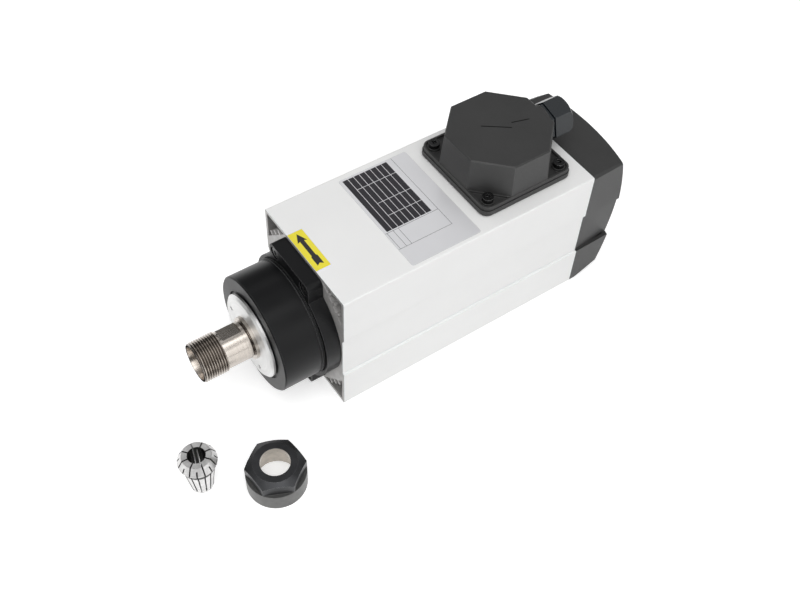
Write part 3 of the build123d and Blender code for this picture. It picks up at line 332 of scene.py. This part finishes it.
def inside_group():
    """A mask of the faces inside a box or square to the Y axis, which no paint reaches."""
    square_match = 0.9
    group, given, out = new_group(
        "Inside mask",
        [("Low", "NodeSocketVector", (0.0, 0.0, 0.0)), ("High", "NodeSocketVector", (0.0, 0.0, 0.0))],
        [("Mask", "NodeSocketFloat")])
    above = vector(group, "SUBTRACT", here(group), given["Low"])
    below = vector(group, "SUBTRACT", given["High"], here(group))
    least = split(group, vector(group, "MINIMUM", above, below))
    nearest = number(group, "MINIMUM", least["X"], least["Z"])
    inside = number(group, "GREATER_THAN", nearest, 0.0)
    square = number(group, "ABSOLUTE", split(group, here(group, "Normal"))["Y"])
    end = number(group, "GREATER_THAN", square, square_match)
    group.links.new(number(group, "MAXIMUM", inside, end), out["Mask"])
    return group


GROUP_MAKERS = {"mottle": mottle_group, "grain": grain_group, "turned": turned_group, "edge": edge_group,
                "inward": inward_group, "band": band_group, "slot": slot_shade_group, "inside": inside_group}
built_groups = {}


def placed(tree, name, inputs):
    """A shared group, built on first use, placed in a material with its own values."""
    if name not in built_groups:
        built_groups[name] = GROUP_MAKERS[name]()
    return node(tree, "ShaderNodeGroup", inputs, node_tree=built_groups[name])


def bump(tree, height, distance, normal):
    """The normal of a height over another normal."""
    made = node(tree, "ShaderNodeBump", [("Height", height), ("Distance", distance)])
    if normal:
        tree.links.new(normal, made.inputs["Normal"])
    return made.outputs["Normal"]


def finish(name, base, roughness, metallic=0.0, mottle=0.06, mottle_scale=60.0, grain=0.0,
           grain_scale=2500.0, rings=None, ring_height=0.0, ring_scale=3000.0, ring_tint=0.0,
           edge_color=None, edge_reach=0.5 * MM, round_edges=0.0, tangent_axis=None, **sockets):
    """A surface finish: mottled colour, uneven gloss, grain, turning rings, rounded edges, and edges
    painted lighter as painted highlights and darker as painted shade lines.
    """
    made = bpy.data.materials.new(name)
    made.use_nodes = True
    tree = made.node_tree
    shader = tree.nodes["Principled BSDF"]
    shader.inputs["Metallic"].default_value = metallic
    for key, value in sockets.items():
        shader.inputs[key.replace("_", " ")].default_value = value
    patch = placed(tree, "mottle", [("Color", (*base, 1.0)), ("Amount", mottle), ("Scale", mottle_scale)])
    gloss = remap(tree, patch.outputs["Mask"], NOISE_SPAN,
                  (roughness * (1 - GLOSS_SWING), roughness * (1 + GLOSS_SWING)))
    tree.links.new(gloss, shader.inputs["Roughness"])
    shade = patch.outputs["Color"]
    normal = None
    if round_edges:
        rounded = node(tree, "ShaderNodeBevel", [("Radius", round_edges)], samples=BEVEL_SAMPLES)
        normal = rounded.outputs["Normal"]
    if rings:
        turned = placed(tree, "turned", [("Centre", rings[0]), ("Axis", rings[1]), ("Scale", ring_scale)])
        if ring_tint:
            level = remap(tree, turned.outputs["Mask"], (0.35, 0.65), (1 - ring_tint, 1 + ring_tint))
            shade = scaled(tree, shade, level)
        normal = bump(tree, turned.outputs["Height"], ring_height, normal)
    if grain:
        texture = placed(tree, "grain", [("Scale", grain_scale)])
        normal = bump(tree, texture.outputs["Height"], grain, normal)
    # Edges in edge_color: painted highlights where it is lighter than the base, painted shade lines where
    # it is darker.
    if edge_color:
        wear_and_painted_edge = placed(tree, "edge", [("Reach", edge_reach)])
        shade = mix_colors(tree, wear_and_painted_edge.outputs["Mask"], shade, (*edge_color, 1.0))
    tree.links.new(shade, shader.inputs["Base Color"])
    if normal:
        tree.links.new(normal, shader.inputs["Normal"])
    if tangent_axis:
        tangent = node(tree, "ShaderNodeTangent", direction_type="RADIAL", axis=tangent_axis)
        tree.links.new(tangent.outputs[0], shader.inputs["Tangent"])
    return made


def bare_metal_and_painted_light(material, group, inputs, color, roughness, metallic):
    """Another surface where a mask group says so: unpainted metal inside a painted or blackened part, and
    painted light and painted shade on parts of a finish.
    """
    tree = material.node_tree
    shader = tree.nodes["Principled BSDF"]
    mask = placed(tree, group, inputs).outputs["Mask"]
    patch = placed(tree, "mottle", [("Color", (*color, 1.0)), ("Amount", 0.12), ("Scale", 220.0)])
    shade = shader.inputs["Base Color"].links[0].from_socket
    gloss = shader.inputs["Roughness"].links[0].from_socket
    metal = shader.inputs["Metallic"]
    plain = metal.links[0].from_socket if metal.is_linked else metal.default_value
    tree.links.new(mix_colors(tree, mask, shade, patch.outputs["Color"]), shader.inputs["Base Color"])
    tree.links.new(mix_values(tree, mask, gloss, roughness), shader.inputs["Roughness"])
    tree.links.new(mix_values(tree, mask, plain, metallic), metal)
    return material


def repaint(material, *names):
    """Give CAD nodes that stay as they are a new finish."""
    for name in names:
        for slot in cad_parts[name].material_slots:
            slot.material = material


# Meshes
def new_piece(name, mesh, material, body):
    """Link a mesh as a named piece that rides on a body."""
    piece = bpy.data.objects.new(name, mesh)
    bpy.context.scene.collection.objects.link(piece)
    mesh.materials.append(material)
    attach(piece, body)
    return piece


def flat_piece(name, outlines, base, height, material):
    """Thin printed shapes on a film: one prism for each outline."""
    work = bmesh.new()
    for outline in outlines:
        low = [work.verts.new((x, y, base)) for x, y in outline]
        high = [work.verts.new((x, y, base + height)) for x, y in outline]
        work.faces.new(high)
        work.faces.new(list(reversed(low)))
        for index, start in enumerate(low):
            after = (index + 1) % len(low)
            work.faces.new((start, low[after], high[after], high[index]))
    bmesh.ops.recalc_face_normals(work, faces=work.faces)
    mesh = bpy.data.meshes.new(name)
    work.to_mesh(mesh)
    work.free()
    return new_piece(name, mesh, material, "housing")


def bar(x_start, x_end, y_start, y_end):
    """The outline of a rectangle."""
    return [(x_start, y_start), (x_end, y_start), (x_end, y_end), (x_start, y_end)]


def line(start, end, width):
    """The outline of a straight line of a given width."""
    start, end = Vector(start), Vector(end)
    run = (end - start).normalized() * width / 2
    side = Vector((-run.y, run.x))
    return [tuple(corner) for corner in (start - side, end - side, end + side, start + side)]


class SPINDLE_OT_body_finishes(bpy.types.Operator):
    """Finish the painted body, the black flange and the moulded covers"""
    bl_idname = "spindle.body_finishes"
    bl_label = "Body finishes"

    def execute(self, context):
        colours = context.scene.spindle_colours
        rounding = context.scene.spindle_sizes.edge_round
        skin = Vector((2.0 * MM, 0.0, 1.5 * MM))
        insides = [("Low", BODY_LOW + skin), ("High", BODY_HIGH - skin)]
        # Pale cyan edge_color on the body: a painted highlight along its edges and the steps of the side
        # band.
        painted = finish("body_paint", colours.paint, 0.42, mottle=0.012, mottle_scale=35.0,
                         grain=0.02 * MM, grain_scale=1800.0, edge_color=(0.86, 0.95, 0.97),
                         edge_reach=0.7 * MM, round_edges=rounding)
        repaint(bare_metal_and_painted_light(painted, "inside", insides, colours.raw, 0.42, 0.35), "body_extrusion")
        # Lighter grey edges on the black flange: a painted highlight.
        repaint(finish("black_anodised", colours.anodised, 0.34, mottle=0.10, mottle_scale=50.0,
                       rings=AXIS, ring_height=0.008 * MM, ring_scale=2500.0,
                       edge_color=(0.12, 0.12, 0.122), edge_reach=0.4 * MM, round_edges=rounding,
                       Specular_IOR_Level=0.18), "front_flange")
        # Lighter edges on the covers: a painted highlight.
        repaint(finish("cover_plastic", colours.moulded, 0.46, mottle=0.10, mottle_scale=40.0,
                       grain=0.16 * MM, grain_scale=2600.0, edge_color=(0.095, 0.094, 0.092),
                       edge_reach=0.5 * MM, round_edges=rounding),
                "rear_cover", "terminal_box_base", "terminal_box_lid", "cooling_fan")
        repaint(finish("gasket_rubber", (0.012, 0.012, 0.012), 0.7, mottle=0.2, grain=0.05 * MM),
                "box_gasket", "lid_gasket")
        # Lighter blue grey edges on the gland: a painted highlight.
        repaint(finish("gland_plastic", colours.gland, 0.24, mottle=0.08, grain=0.03 * MM,
                       grain_scale=1800.0, edge_color=(0.055, 0.065, 0.072), round_edges=rounding),
                "gland_body", "gland_nut", "gland_locknut")
        repaint(finish("seal_rubber", (0.42, 0.42, 0.41), 0.6, mottle=0.12, grain=0.04 * MM),
                "gland_seal")
        return {"FINISHED"}


class SPINDLE_OT_metal_finishes(bpy.types.Operator):
    """Finish the nose ring, the clamping nut, the collet and the black screws"""
    bl_idname = "spindle.metal_finishes"
    bl_label = "Metal finishes"

    def execute(self, context):
        colours = context.scene.spindle_colours
        rounding = context.scene.spindle_sizes.edge_round
        nut_middle = (NUT_LOW + NUT_HIGH) / 2
        collet_middle = (COLLET_LOW + COLLET_HIGH) / 2
        skirt_height = 12.2 * MM
        rim_underside = 5.6 * MM
        shade_end = 10.6 * MM
        skirt = [("Low", NUT_LOW.z), ("High", NUT_LOW.z + skirt_height)]
        groove = [("Centre", collet_middle), ("Groove Low", COLLET_HIGH.z - shade_end),
                  ("Groove High", COLLET_HIGH.z - rim_underside)]
        repaint(finish("turned_aluminium", colours.bright, 0.38, metallic=1.0, mottle=0.05, rings=AXIS,
                       ring_height=0.03 * MM, ring_scale=3500.0, ring_tint=0.06, round_edges=rounding / 3,
                       tangent_axis="Y", Anisotropic=0.8, Anisotropic_Rotation=0.25), "nose_ring")
        # Grey edges on the blackened nut: a painted highlight along its flats.
        blackened = finish("blackened_steel", colours.blackened, 0.36, metallic=0.85, mottle=0.16,
                           mottle_scale=120.0, rings=(tuple(nut_middle), UPRIGHT), ring_height=0.01 * MM,
                           edge_color=(0.30, 0.30, 0.30), edge_reach=0.4 * MM, round_edges=rounding)
        # The nut's skirt painted lighter than its top: painted light from the front.
        bare_metal_and_painted_light(blackened, "band", skirt, (0.13, 0.13, 0.127), 0.40, 0.85)
        bare_metal_and_painted_light(blackened, "inward", [("Centre", nut_middle), ("Axis", UPRIGHT)], colours.wear_and_painted_edge, 0.14, 1.0)
        repaint(blackened, "clamping_nut")
        # Near black edges on the collet: painted shade lines at its slots and rim.
        ground = finish("collet_steel", colours.collet, 0.34, metallic=1.0, mottle=0.12,
                        mottle_scale=300.0, rings=(tuple(collet_middle), UPRIGHT),
                        ring_height=0.01 * MM, ring_tint=0.05, edge_color=(0.02, 0.02, 0.02),
                        edge_reach=0.28 * MM, round_edges=rounding / 3)
        # The collet's slot walls, bore and the band under its rim painted near black: painted shade.
        repaint(bare_metal_and_painted_light(ground, "slot", groove, (0.012, 0.012, 0.011), 0.4, 0.5), "collet")
        # Grey edges on the black screws: a painted highlight, as glints on the heads.
        repaint(finish("black_screw_steel", (0.030, 0.030, 0.031), 0.28, metallic=0.8, mottle=0.2,
                       mottle_scale=300.0, edge_color=(0.25, 0.25, 0.25), edge_reach=0.3 * MM,
                       round_edges=rounding / 2),
                "flange_screws", "lid_screws", "rear_cover_screws", "rear_bracket_screws",
                "retainer_screws")
        return {"FINISHED"}


class SPINDLE_OT_inner_finishes(bpy.types.Operator):
    """Finish the bearings, the motor and the parts inside the terminal box"""
    bl_idname = "spindle.inner_finishes"
    bl_label = "Inner finishes"

    def execute(self, context):
        repaint(finish("bearing_steel", (0.62, 0.62, 0.63), 0.16, metallic=1.0, mottle=0.04, rings=AXIS,
                       ring_height=0.008 * MM),
                "front_bearing_outer_rings", "front_bearing_inner_rings", "front_bearing_balls",
                "rear_bearing_outer_ring", "rear_bearing_inner_ring", "rear_bearing_balls")
        repaint(finish("cage_brass", (0.60, 0.42, 0.16), 0.35, metallic=1.0, mottle=0.08),
                "front_bearing_cages", "rear_bearing_cage", "terminal_studs", "terminal_nuts",
                "earth_screw")
        repaint(finish("plain_steel", (0.50, 0.50, 0.51), 0.34, metallic=1.0, mottle=0.08, rings=AXIS,
                       ring_height=0.01 * MM),
                "bearing_retainer", "preload_washer", "fan_clip", "base_screws")
        repaint(finish("lamination_steel", (0.22, 0.23, 0.25), 0.45, metallic=0.9, mottle=0.15,
                       rings=AXIS, ring_height=0.06 * MM, ring_scale=1500.0, ring_tint=0.2),
                "stator_core", "rotor_core")
        repaint(finish("copper_wire", (0.50, 0.17, 0.06), 0.35, metallic=0.6, mottle=0.2, rings=AXIS,
                       ring_height=0.2 * MM, ring_scale=900.0), "stator_windings")
        repaint(finish("cast_aluminium", (0.55, 0.56, 0.57), 0.5, metallic=0.9, mottle=0.12,
                       grain=0.1 * MM, grain_scale=1500.0), "rotor_end_rings", "rear_bracket")
        repaint(finish("lead_rubber", (0.02, 0.02, 0.02), 0.5, mottle=0.15, grain=0.03 * MM),
                "winding_leads")
        repaint(finish("block_plastic", (0.05, 0.035, 0.025), 0.45, mottle=0.15, grain=0.05 * MM),
                "terminal_block")
        return {"FINISHED"}


# Nose of the shaft
SOCKET_MOUTH_RADIUS = 10.45 * MM
THREAD_SEAT_RADIUS = 11.4 * MM
SOCKET_LIMIT_RADIUS = 11.0 * MM
COLLAR_GROOVE_DEPTH = 31.75 * MM
COLLAR_GROOVE_HALF = 0.6 * MM
THREAD_RUN_IN = 0.1 * MM
WELD = 0.0001 * MM
SHARP_ANGLE = math.radians(18)
LEVEL_ANGLE = math.radians(0.2)


class SPINDLE_OT_thread_nose(bpy.types.Operator):
    """Make the shaft with its real nose thread"""
    bl_idname = "spindle.thread_nose"
    bl_label = "Threaded shaft"

    def execute(self, context):
        sizes = context.scene.spindle_sizes
        facets = context.scene.spindle_stage.turn_facets
        work = bmesh.new()
        work.from_mesh(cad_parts["spindle_shaft"].data)
        bmesh.ops.remove_doubles(work, verts=work.verts, dist=WELD)
        drop_thread_cylinder(work, sizes)
        bmesh.ops.dissolve_limit(work, angle_limit=LEVEL_ANGLE, verts=work.verts, edges=work.edges)
        add_thread(work, sizes, facets)
        mesh = bpy.data.meshes.new("threaded_shaft")
        work.to_mesh(mesh)
        work.free()
        steel = finish("ground_steel", context.scene.spindle_colours.steel, 0.24, metallic=1.0,
                       mottle=0.08, mottle_scale=90.0, rings=AXIS, ring_height=0.006 * MM,
                       ring_tint=0.04)
        shade_valleys(steel, sizes)
        piece = new_piece("threaded_shaft", mesh, steel, "spindle")
        mesh.shade_smooth()
        mesh.set_sharp_from_angle(angle=SHARP_ANGLE)
        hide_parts("spindle_shaft")
        return {"FINISHED"}


def shade_valleys(steel, sizes):
    """Darken the thread's valleys and the groove before the collar: painted shade in the creases."""
    crest_margin = 0.15 * MM
    # The dark colour below is painted shade in the thread's valleys and the collar groove.
    valley_shade_color = (0.07, 0.058, 0.05, 1.0)
    tree = steel.node_tree
    shader = tree.nodes["Principled BSDF"]
    shaft_tip = (0.0, SHAFT_FRONT, AXIS_HEIGHT)
    place = placed(tree, "turned", [("Centre", shaft_tip), ("Axis", AXIS[1])]).outputs
    root = sizes.thread_radius - sizes.thread_depth
    valley = remap(tree, place["Radius"], (root, sizes.thread_radius - crest_margin), (0.85, 0.0))
    outside = number(tree, "GREATER_THAN", place["Radius"], SOCKET_LIMIT_RADIUS)
    along = number(tree, "LESS_THAN", place["Depth"], sizes.thread_length)
    thread = number(tree, "MULTIPLY", number(tree, "MULTIPLY", outside, along), valley)
    groove = number(tree, "COMPARE", place["Depth"], COLLAR_GROOVE_DEPTH, COLLAR_GROOVE_HALF)
    mask = number(tree, "MAXIMUM", thread, groove)
    shade = shader.inputs["Base Color"].links[0].from_socket
    tree.links.new(mix_colors(tree, mask, shade, valley_shade_color), shader.inputs["Base Color"])


def drop_thread_cylinder(work, sizes):
    """Take away the plain cylinder that stands for the thread, and leave the socket inside it."""
    slack = 0.05 * MM
    root_margin = 0.2 * MM
    thread_end = SHAFT_FRONT + sizes.thread_length
    root = sizes.thread_radius - sizes.thread_depth - root_margin
    plain = [face for face in work.faces if all(
        vert.co.y < thread_end + slack and math.hypot(vert.co.x, vert.co.z - AXIS_HEIGHT) > root
        for vert in face.verts)]
    if not plain:
        raise RuntimeError("the shaft has no plain cylinder where its thread belongs")
    bmesh.ops.delete(work, geom=plain, context="FACES")


def thread_radius(sizes, y, turn):
    """The thread's radius at a distance along the axis and a share of a turn, with a pointed start."""
    flat_share = 0.1
    root = sizes.thread_radius - sizes.thread_depth
    phase = ((y - SHAFT_FRONT) / sizes.thread_pitch - turn) % 1.0
    flank = min(1.0, max(0.0, (abs(2 * phase - 1) - flat_share) / (1 - 2 * flat_share)))
    start_limit = root + (y - SHAFT_FRONT) - THREAD_RUN_IN
    return max(min(root + flank * sizes.thread_depth, start_limit), root - THREAD_RUN_IN)


def add_thread(work, sizes, facets):
    """Add the helical thread: rows of points that follow the helix, and a ring at each end."""
    rows_per_pitch = 10
    thread_end = SHAFT_FRONT + sizes.thread_length
    rows = math.ceil(sizes.thread_length / sizes.thread_pitch * rows_per_pitch)
    grid = []
    for row in range(-rows_per_pitch, rows + 1):
        ring = []
        for step in range(facets):
            turn = step / facets
            y = SHAFT_FRONT + sizes.thread_pitch * (row / rows_per_pitch + turn)
            y = min(max(y, SHAFT_FRONT), thread_end)
            ring.append(ring_point(work, thread_radius(sizes, y, turn), y, turn))
        grid.append(ring)
    for row, ring in enumerate(grid[:-1]):
        above = grid[row + 1]
        for step in range(facets - 1):
            work.faces.new((ring[step], ring[step + 1], above[step + 1], above[step]))
        if row + rows_per_pitch + 1 < len(grid):
            work.faces.new((ring[-1], grid[row + rows_per_pitch][0], grid[row + rows_per_pitch + 1][0],
                            above[-1]))
    for y, inner in ((SHAFT_FRONT, SOCKET_MOUTH_RADIUS), (thread_end, THREAD_SEAT_RADIUS)):
        outer_ring = [ring_point(work, thread_radius(sizes, y, step / facets), y, step / facets)
                      for step in range(facets)]
        inner_ring = [ring_point(work, inner, y, step / facets) for step in range(facets)]
        for step in range(facets):
            after = (step + 1) % facets
            work.faces.new((outer_ring[step], outer_ring[after], inner_ring[after], inner_ring[step]))
    bmesh.ops.remove_doubles(work, verts=work.verts, dist=WELD)
    bmesh.ops.recalc_face_normals(work, faces=work.faces)


def ring_point(work, radius, y, turn):
    """A new point around the shaft's axis."""
    angle = 2 * math.pi * turn
    return work.verts.new((radius * math.cos(angle), y, AXIS_HEIGHT + radius * math.sin(angle)))


class SPINDLE_OT_print_label(bpy.types.Operator):
    """Print the turning arrow on the yellow label"""
    bl_idname = "spindle.print_label"
    bl_label = "Arrow label"

    def execute(self, context):
        colours = context.scene.spindle_colours
        ink_height = context.scene.spindle_sizes.ink_height
        repaint(finish("clear_film", (0.76, 0.76, 0.92), 0.35, mottle=0.03), "arrow_label")
        border = 0.35 * MM
        ground = bar(LABEL_LOW.x + border, LABEL_HIGH.x - border, LABEL_LOW.y, LABEL_HIGH.y - border)
        yellow = finish("yellow_film", colours.yellow, 0.35, mottle=0.03, grain=0.01 * MM)
        flat_piece("label_ground", [ground], LABEL_HIGH.z, ink_height / 2, yellow)
        middle = (LABEL_LOW.y + LABEL_HIGH.y) / 2
        tip = LABEL_LOW.x + 2.3 * MM
        barb = tip + 6.7 * MM
        neck = tip + 6.0 * MM
        tail = tip + 18.4 * MM
        flight = tip + 19.4 * MM
        end = tip + 26.25 * MM
        notch = tip + 24.8 * MM
        half_head = 3.05 * MM
        half_stem = 1.32 * MM
        half_tail = 2.0 * MM
        half = [(tip, 0.0), (barb, half_head), (neck, half_stem), (tail, half_stem), (flight, half_tail),
                (end, half_tail)]
        lower = [(x, -y) for x, y in reversed(half[1:])]
        outline = [(x, middle + y) for x, y in [*half, (notch, 0.0), *lower]]
        ink = finish("label_ink", colours.ink, 0.4, mottle=0.1)
        flat_piece("label_arrow", [outline], LABEL_HIGH.z + ink_height / 2, ink_height / 2, ink)
        return {"FINISHED"}


class SPINDLE_OT_rule_plate(bpy.types.Operator):
    """Print a blank ruled table on the silver plate"""
    bl_idname = "spindle.rule_plate"
    bl_label = "Ruled plate"

    def execute(self, context):
        colours = context.scene.spindle_colours
        ink_height = context.scene.spindle_sizes.ink_height
        # Darker grey edges on the silver plate: a painted shade line along its rim.
        repaint(finish("silver_film", colours.silver, 0.33, metallic=0.25, mottle=0.015, grain=0.01 * MM,
                       edge_color=(0.42, 0.42, 0.42), edge_reach=0.3 * MM), "blank_plate")
        ink = finish("plate_ink", colours.ink, 0.4, mottle=0.08)
        table_low = PLATE_LOW.y + 1.9 * MM
        row_height = 3.925 * MM
        rule = 0.38 * MM
        column_stops = (1.2, 11.6, 27.1, 38.2, 48.55)
        columns = [PLATE_LOW.x + stop * MM for stop in column_stops]
        rows = [[columns[0], columns[-1]], [columns[0], columns[1], columns[-1]]] + [columns] * 6
        cells = []
        for row, stops in enumerate(rows):
            low = table_low + row * row_height
            high = low + row_height
            cells.extend(bar(left + rule / 2, right - rule / 2, low + rule / 2, high - rule / 2)
                         for left, right in zip(stops, stops[1:]))
        flat_piece("plate_table", cells, PLATE_HIGH.z, ink_height, ink)
        thin = 0.22 * MM
        margin = 0.4 * MM
        front, left = PLATE_LOW.y + margin, PLATE_LOW.x + margin
        side = columns[-1] + 0.75 * MM
        divide = side + 13.7 * MM
        shelf = table_low + len(rows) * row_height + 3.8 * MM
        step_heights = (-0.45, 3.7, 7.2)
        steps = [table_low + height * MM for height in step_heights]
        lines = [((side, front), (side, shelf)), ((left, shelf), (divide, shelf)),
                 ((divide, front), (divide, shelf)), *[((side, y), (divide, y)) for y in steps]]
        grey = finish("plate_rule", (0.10, 0.10, 0.11), 0.4, mottle=0.1)
        flat_piece("plate_rules", [line(start, stop, thin) for start, stop in lines], PLATE_HIGH.z,
                   ink_height, grey)
        return {"FINISHED"}


class SPINDLE_OT_mark_lid(bpy.types.Operator):
    """Draw the two plain grooves on top of the lid"""
    bl_idname = "spindle.mark_lid"
    bl_label = "Lid grooves"

    def execute(self, context):
        sizes = context.scene.spindle_sizes
        dark = finish("groove_shade", (0.004, 0.004, 0.004), 0.6, mottle=0.1, Specular_IOR_Level=0.1)
        middle = (LID_LOW.x + LID_HIGH.x) / 2
        # Ends of each groove in millimetres from the middle of the lid's front edge
        groove_ends = (((-7.2, 24.1), (3.4, 38.7)), ((-0.1, 41.1), (3.0, 52.0)))
        outlines = []
        for ends in groove_ends:
            start, stop = [(middle + x * MM, LID_LOW.y + y * MM) for x, y in ends]
            outlines.append(line(start, stop, sizes.groove_width))
        flat_piece("lid_grooves", outlines, LID_HIGH.z - sizes.ink_height / 2, sizes.ink_height, dark)
        return {"FINISHED"}


# Stage
FLOOR_HALF = 4.0
SENSOR_WIDTH = 36.0
CAMERA_PLACE = (0.3354, -0.2740, 0.5402)
CAMERA_RIGHT = (0.5656, 0.8238, 0.0373)
CAMERA_FORWARD = (-0.4946, 0.3751, -0.7840)
KEY_OFFSET, KEY_SIZE = (0.50, -0.35, 1.10), 1.1
SIDE_OFFSET, SIDE_SIZE = (1.15, 0.25, 0.42), 0.8
NOSE_OFFSET, NOSE_SIZE = (0.15, -1.25, 0.55), 0.8


class SPINDLE_OT_stage(bpy.types.Operator):
    """Set the floor, lamps and camera"""
    bl_idname = "spindle.stage"
    bl_label = "Stage"

    def execute(self, context):
        scene = context.scene
        stage = scene.spindle_stage
        floor_mesh = bpy.data.meshes.new("floor")
        work = bmesh.new()
        bmesh.ops.create_grid(work, x_segments=24, y_segments=24, size=FLOOR_HALF)
        work.to_mesh(floor_mesh)
        work.free()
        floor = bpy.data.objects.new("floor", floor_mesh)
        scene.collection.objects.link(floor)
        floor.location.z = cad_box[0].z
        floor_mesh.materials.append(floor_material(stage.floor_glow))
        scene.world = strip_world(stage.sky_level)
        area_lamp("key_lamp", KEY_OFFSET, KEY_SIZE, stage.key_power)
        area_lamp("side_lamp", SIDE_OFFSET, SIDE_SIZE, stage.side_power)
        area_lamp("nose_lamp", NOSE_OFFSET, NOSE_SIZE, stage.nose_power)
        scene.camera = photo_camera(stage.lens)
        scene.view_settings.view_transform = "Standard"
        return {"FINISHED"}


def photo_camera(focal_length):
    """The camera of the photograph."""
    lens = bpy.data.cameras.new("camera")
    lens.lens = focal_length
    lens.sensor_width = SENSOR_WIDTH
    camera = bpy.data.objects.new("camera", lens)
    forward = Vector(CAMERA_FORWARD).normalized()
    right = Vector(CAMERA_RIGHT)
    right = (right - forward * right.dot(forward)).normalized()
    turn = Matrix((right, right.cross(forward), -forward)).transposed().to_4x4()
    camera.matrix_world = Matrix.Translation(CAMERA_PLACE) @ turn
    bpy.context.scene.collection.objects.link(camera)
    return camera


def floor_material(glow):
    """A matt white floor that keeps the shadow and is lit up only for what sees it directly."""
    made = bpy.data.materials.new("floor_white")
    made.use_nodes = True
    tree = made.node_tree
    shader = tree.nodes["Principled BSDF"]
    shader.inputs["Roughness"].default_value = 0.9
    shader.inputs["Specular IOR Level"].default_value = 0.1
    shader.inputs["Base Color"].default_value = (0.85, 0.85, 0.85, 1.0)
    path = node(tree, "ShaderNodeLightPath").outputs
    seen = number(tree, "MAXIMUM", path["Is Camera Ray"], path["Is Glossy Ray"])
    shader.inputs["Emission Color"].default_value = (1.0, 1.0, 1.0, 1.0)
    tree.links.new(number(tree, "MULTIPLY", seen, glow), shader.inputs["Emission Strength"])
    return made


def strip_world(level):
    """A white sky with long strips along the spindle, at full strength for the camera."""
    strip_turns = 14.0
    strip_phase = 4.2
    strip_swing = 0.65
    horizon_share, zenith_share = 0.45, 1.5
    rise = (0.1, 0.7)
    world = bpy.data.worlds.new("studio")
    world.use_nodes = True
    tree = world.node_tree
    background = tree.nodes["Background"]
    background.inputs["Color"].default_value = (1.0, 1.0, 1.0, 1.0)
    way = split(tree, here(tree, "Generated"))
    dome = remap(tree, way["Z"], rise, (horizon_share * level, zenith_share * level))
    across = number(tree, "MULTIPLY_ADD", way["X"], strip_turns, strip_phase)
    strips = number(tree, "MULTIPLY_ADD", number(tree, "SINE", across), strip_swing, 1.0)
    sky = number(tree, "MULTIPLY", dome, strips)
    seen = node(tree, "ShaderNodeLightPath").outputs["Is Camera Ray"]
    tree.links.new(mix_values(tree, seen, sky, 1.0), background.inputs["Strength"])
    return world


def area_lamp(name, offset, size, power):
    """A soft square lamp at an offset from the body's middle, which it faces."""
    target = Vector((0.0, 0.0, AXIS_HEIGHT))
    lamp = bpy.data.lights.new(name, "AREA")
    lamp.shape = "SQUARE"
    lamp.size = size
    lamp.energy = power
    made = bpy.data.objects.new(name, lamp)
    made.location = target + Vector(offset)
    made.rotation_euler = (-Vector(offset)).to_track_quat("-Z", "Y").to_euler()
    bpy.context.scene.collection.objects.link(made)


class SPINDLE_PT_panel(bpy.types.Panel):
    """Settings and steps of the motor spindle"""
    bl_label = "Motor spindle"
    bl_idname = "SPINDLE_PT_panel"
    bl_space_type = "VIEW_3D"
    bl_region_type = "UI"
    bl_category = "Spindle"

    def draw(self, context):
        layout = self.layout
        for group in (context.scene.spindle_colours, context.scene.spindle_sizes,
                      context.scene.spindle_stage):
            box = layout.box()
            for name in group.__annotations__:
                box.prop(group, name)
        for operator in OPERATORS:
            layout.operator(operator.bl_idname)


SETTINGS = (SpindleColours, SpindleSizes, SpindleStage)
OPERATORS = (SPINDLE_OT_body_finishes, SPINDLE_OT_metal_finishes, SPINDLE_OT_inner_finishes,
             SPINDLE_OT_thread_nose, SPINDLE_OT_print_label, SPINDLE_OT_rule_plate, SPINDLE_OT_mark_lid,
             SPINDLE_OT_stage)
CLASSES = (*SETTINGS, *OPERATORS, SPINDLE_PT_panel)


def register():
    """Register the classes and the scene's settings."""
    for made in CLASSES:
        bpy.utils.register_class(made)
    bpy.types.Scene.spindle_colours = PointerProperty(type=SpindleColours)
    bpy.types.Scene.spindle_sizes = PointerProperty(type=SpindleSizes)
    bpy.types.Scene.spindle_stage = PointerProperty(type=SpindleStage)


def unregister():
    """Undo register."""
    del bpy.types.Scene.spindle_stage
    del bpy.types.Scene.spindle_sizes
    del bpy.types.Scene.spindle_colours
    for made in reversed(CLASSES):
        bpy.utils.unregister_class(made)


def main():
    """Build everything in order."""
    register()
    bpy.ops.spindle.body_finishes()
    bpy.ops.spindle.metal_finishes()
    bpy.ops.spindle.inner_finishes()
    bpy.ops.spindle.thread_nose()
    bpy.ops.spindle.print_label()
    bpy.ops.spindle.rule_plate()
    bpy.ops.spindle.mark_lid()
    bpy.ops.spindle.stage()


if __name__ == "__main__":
    main()
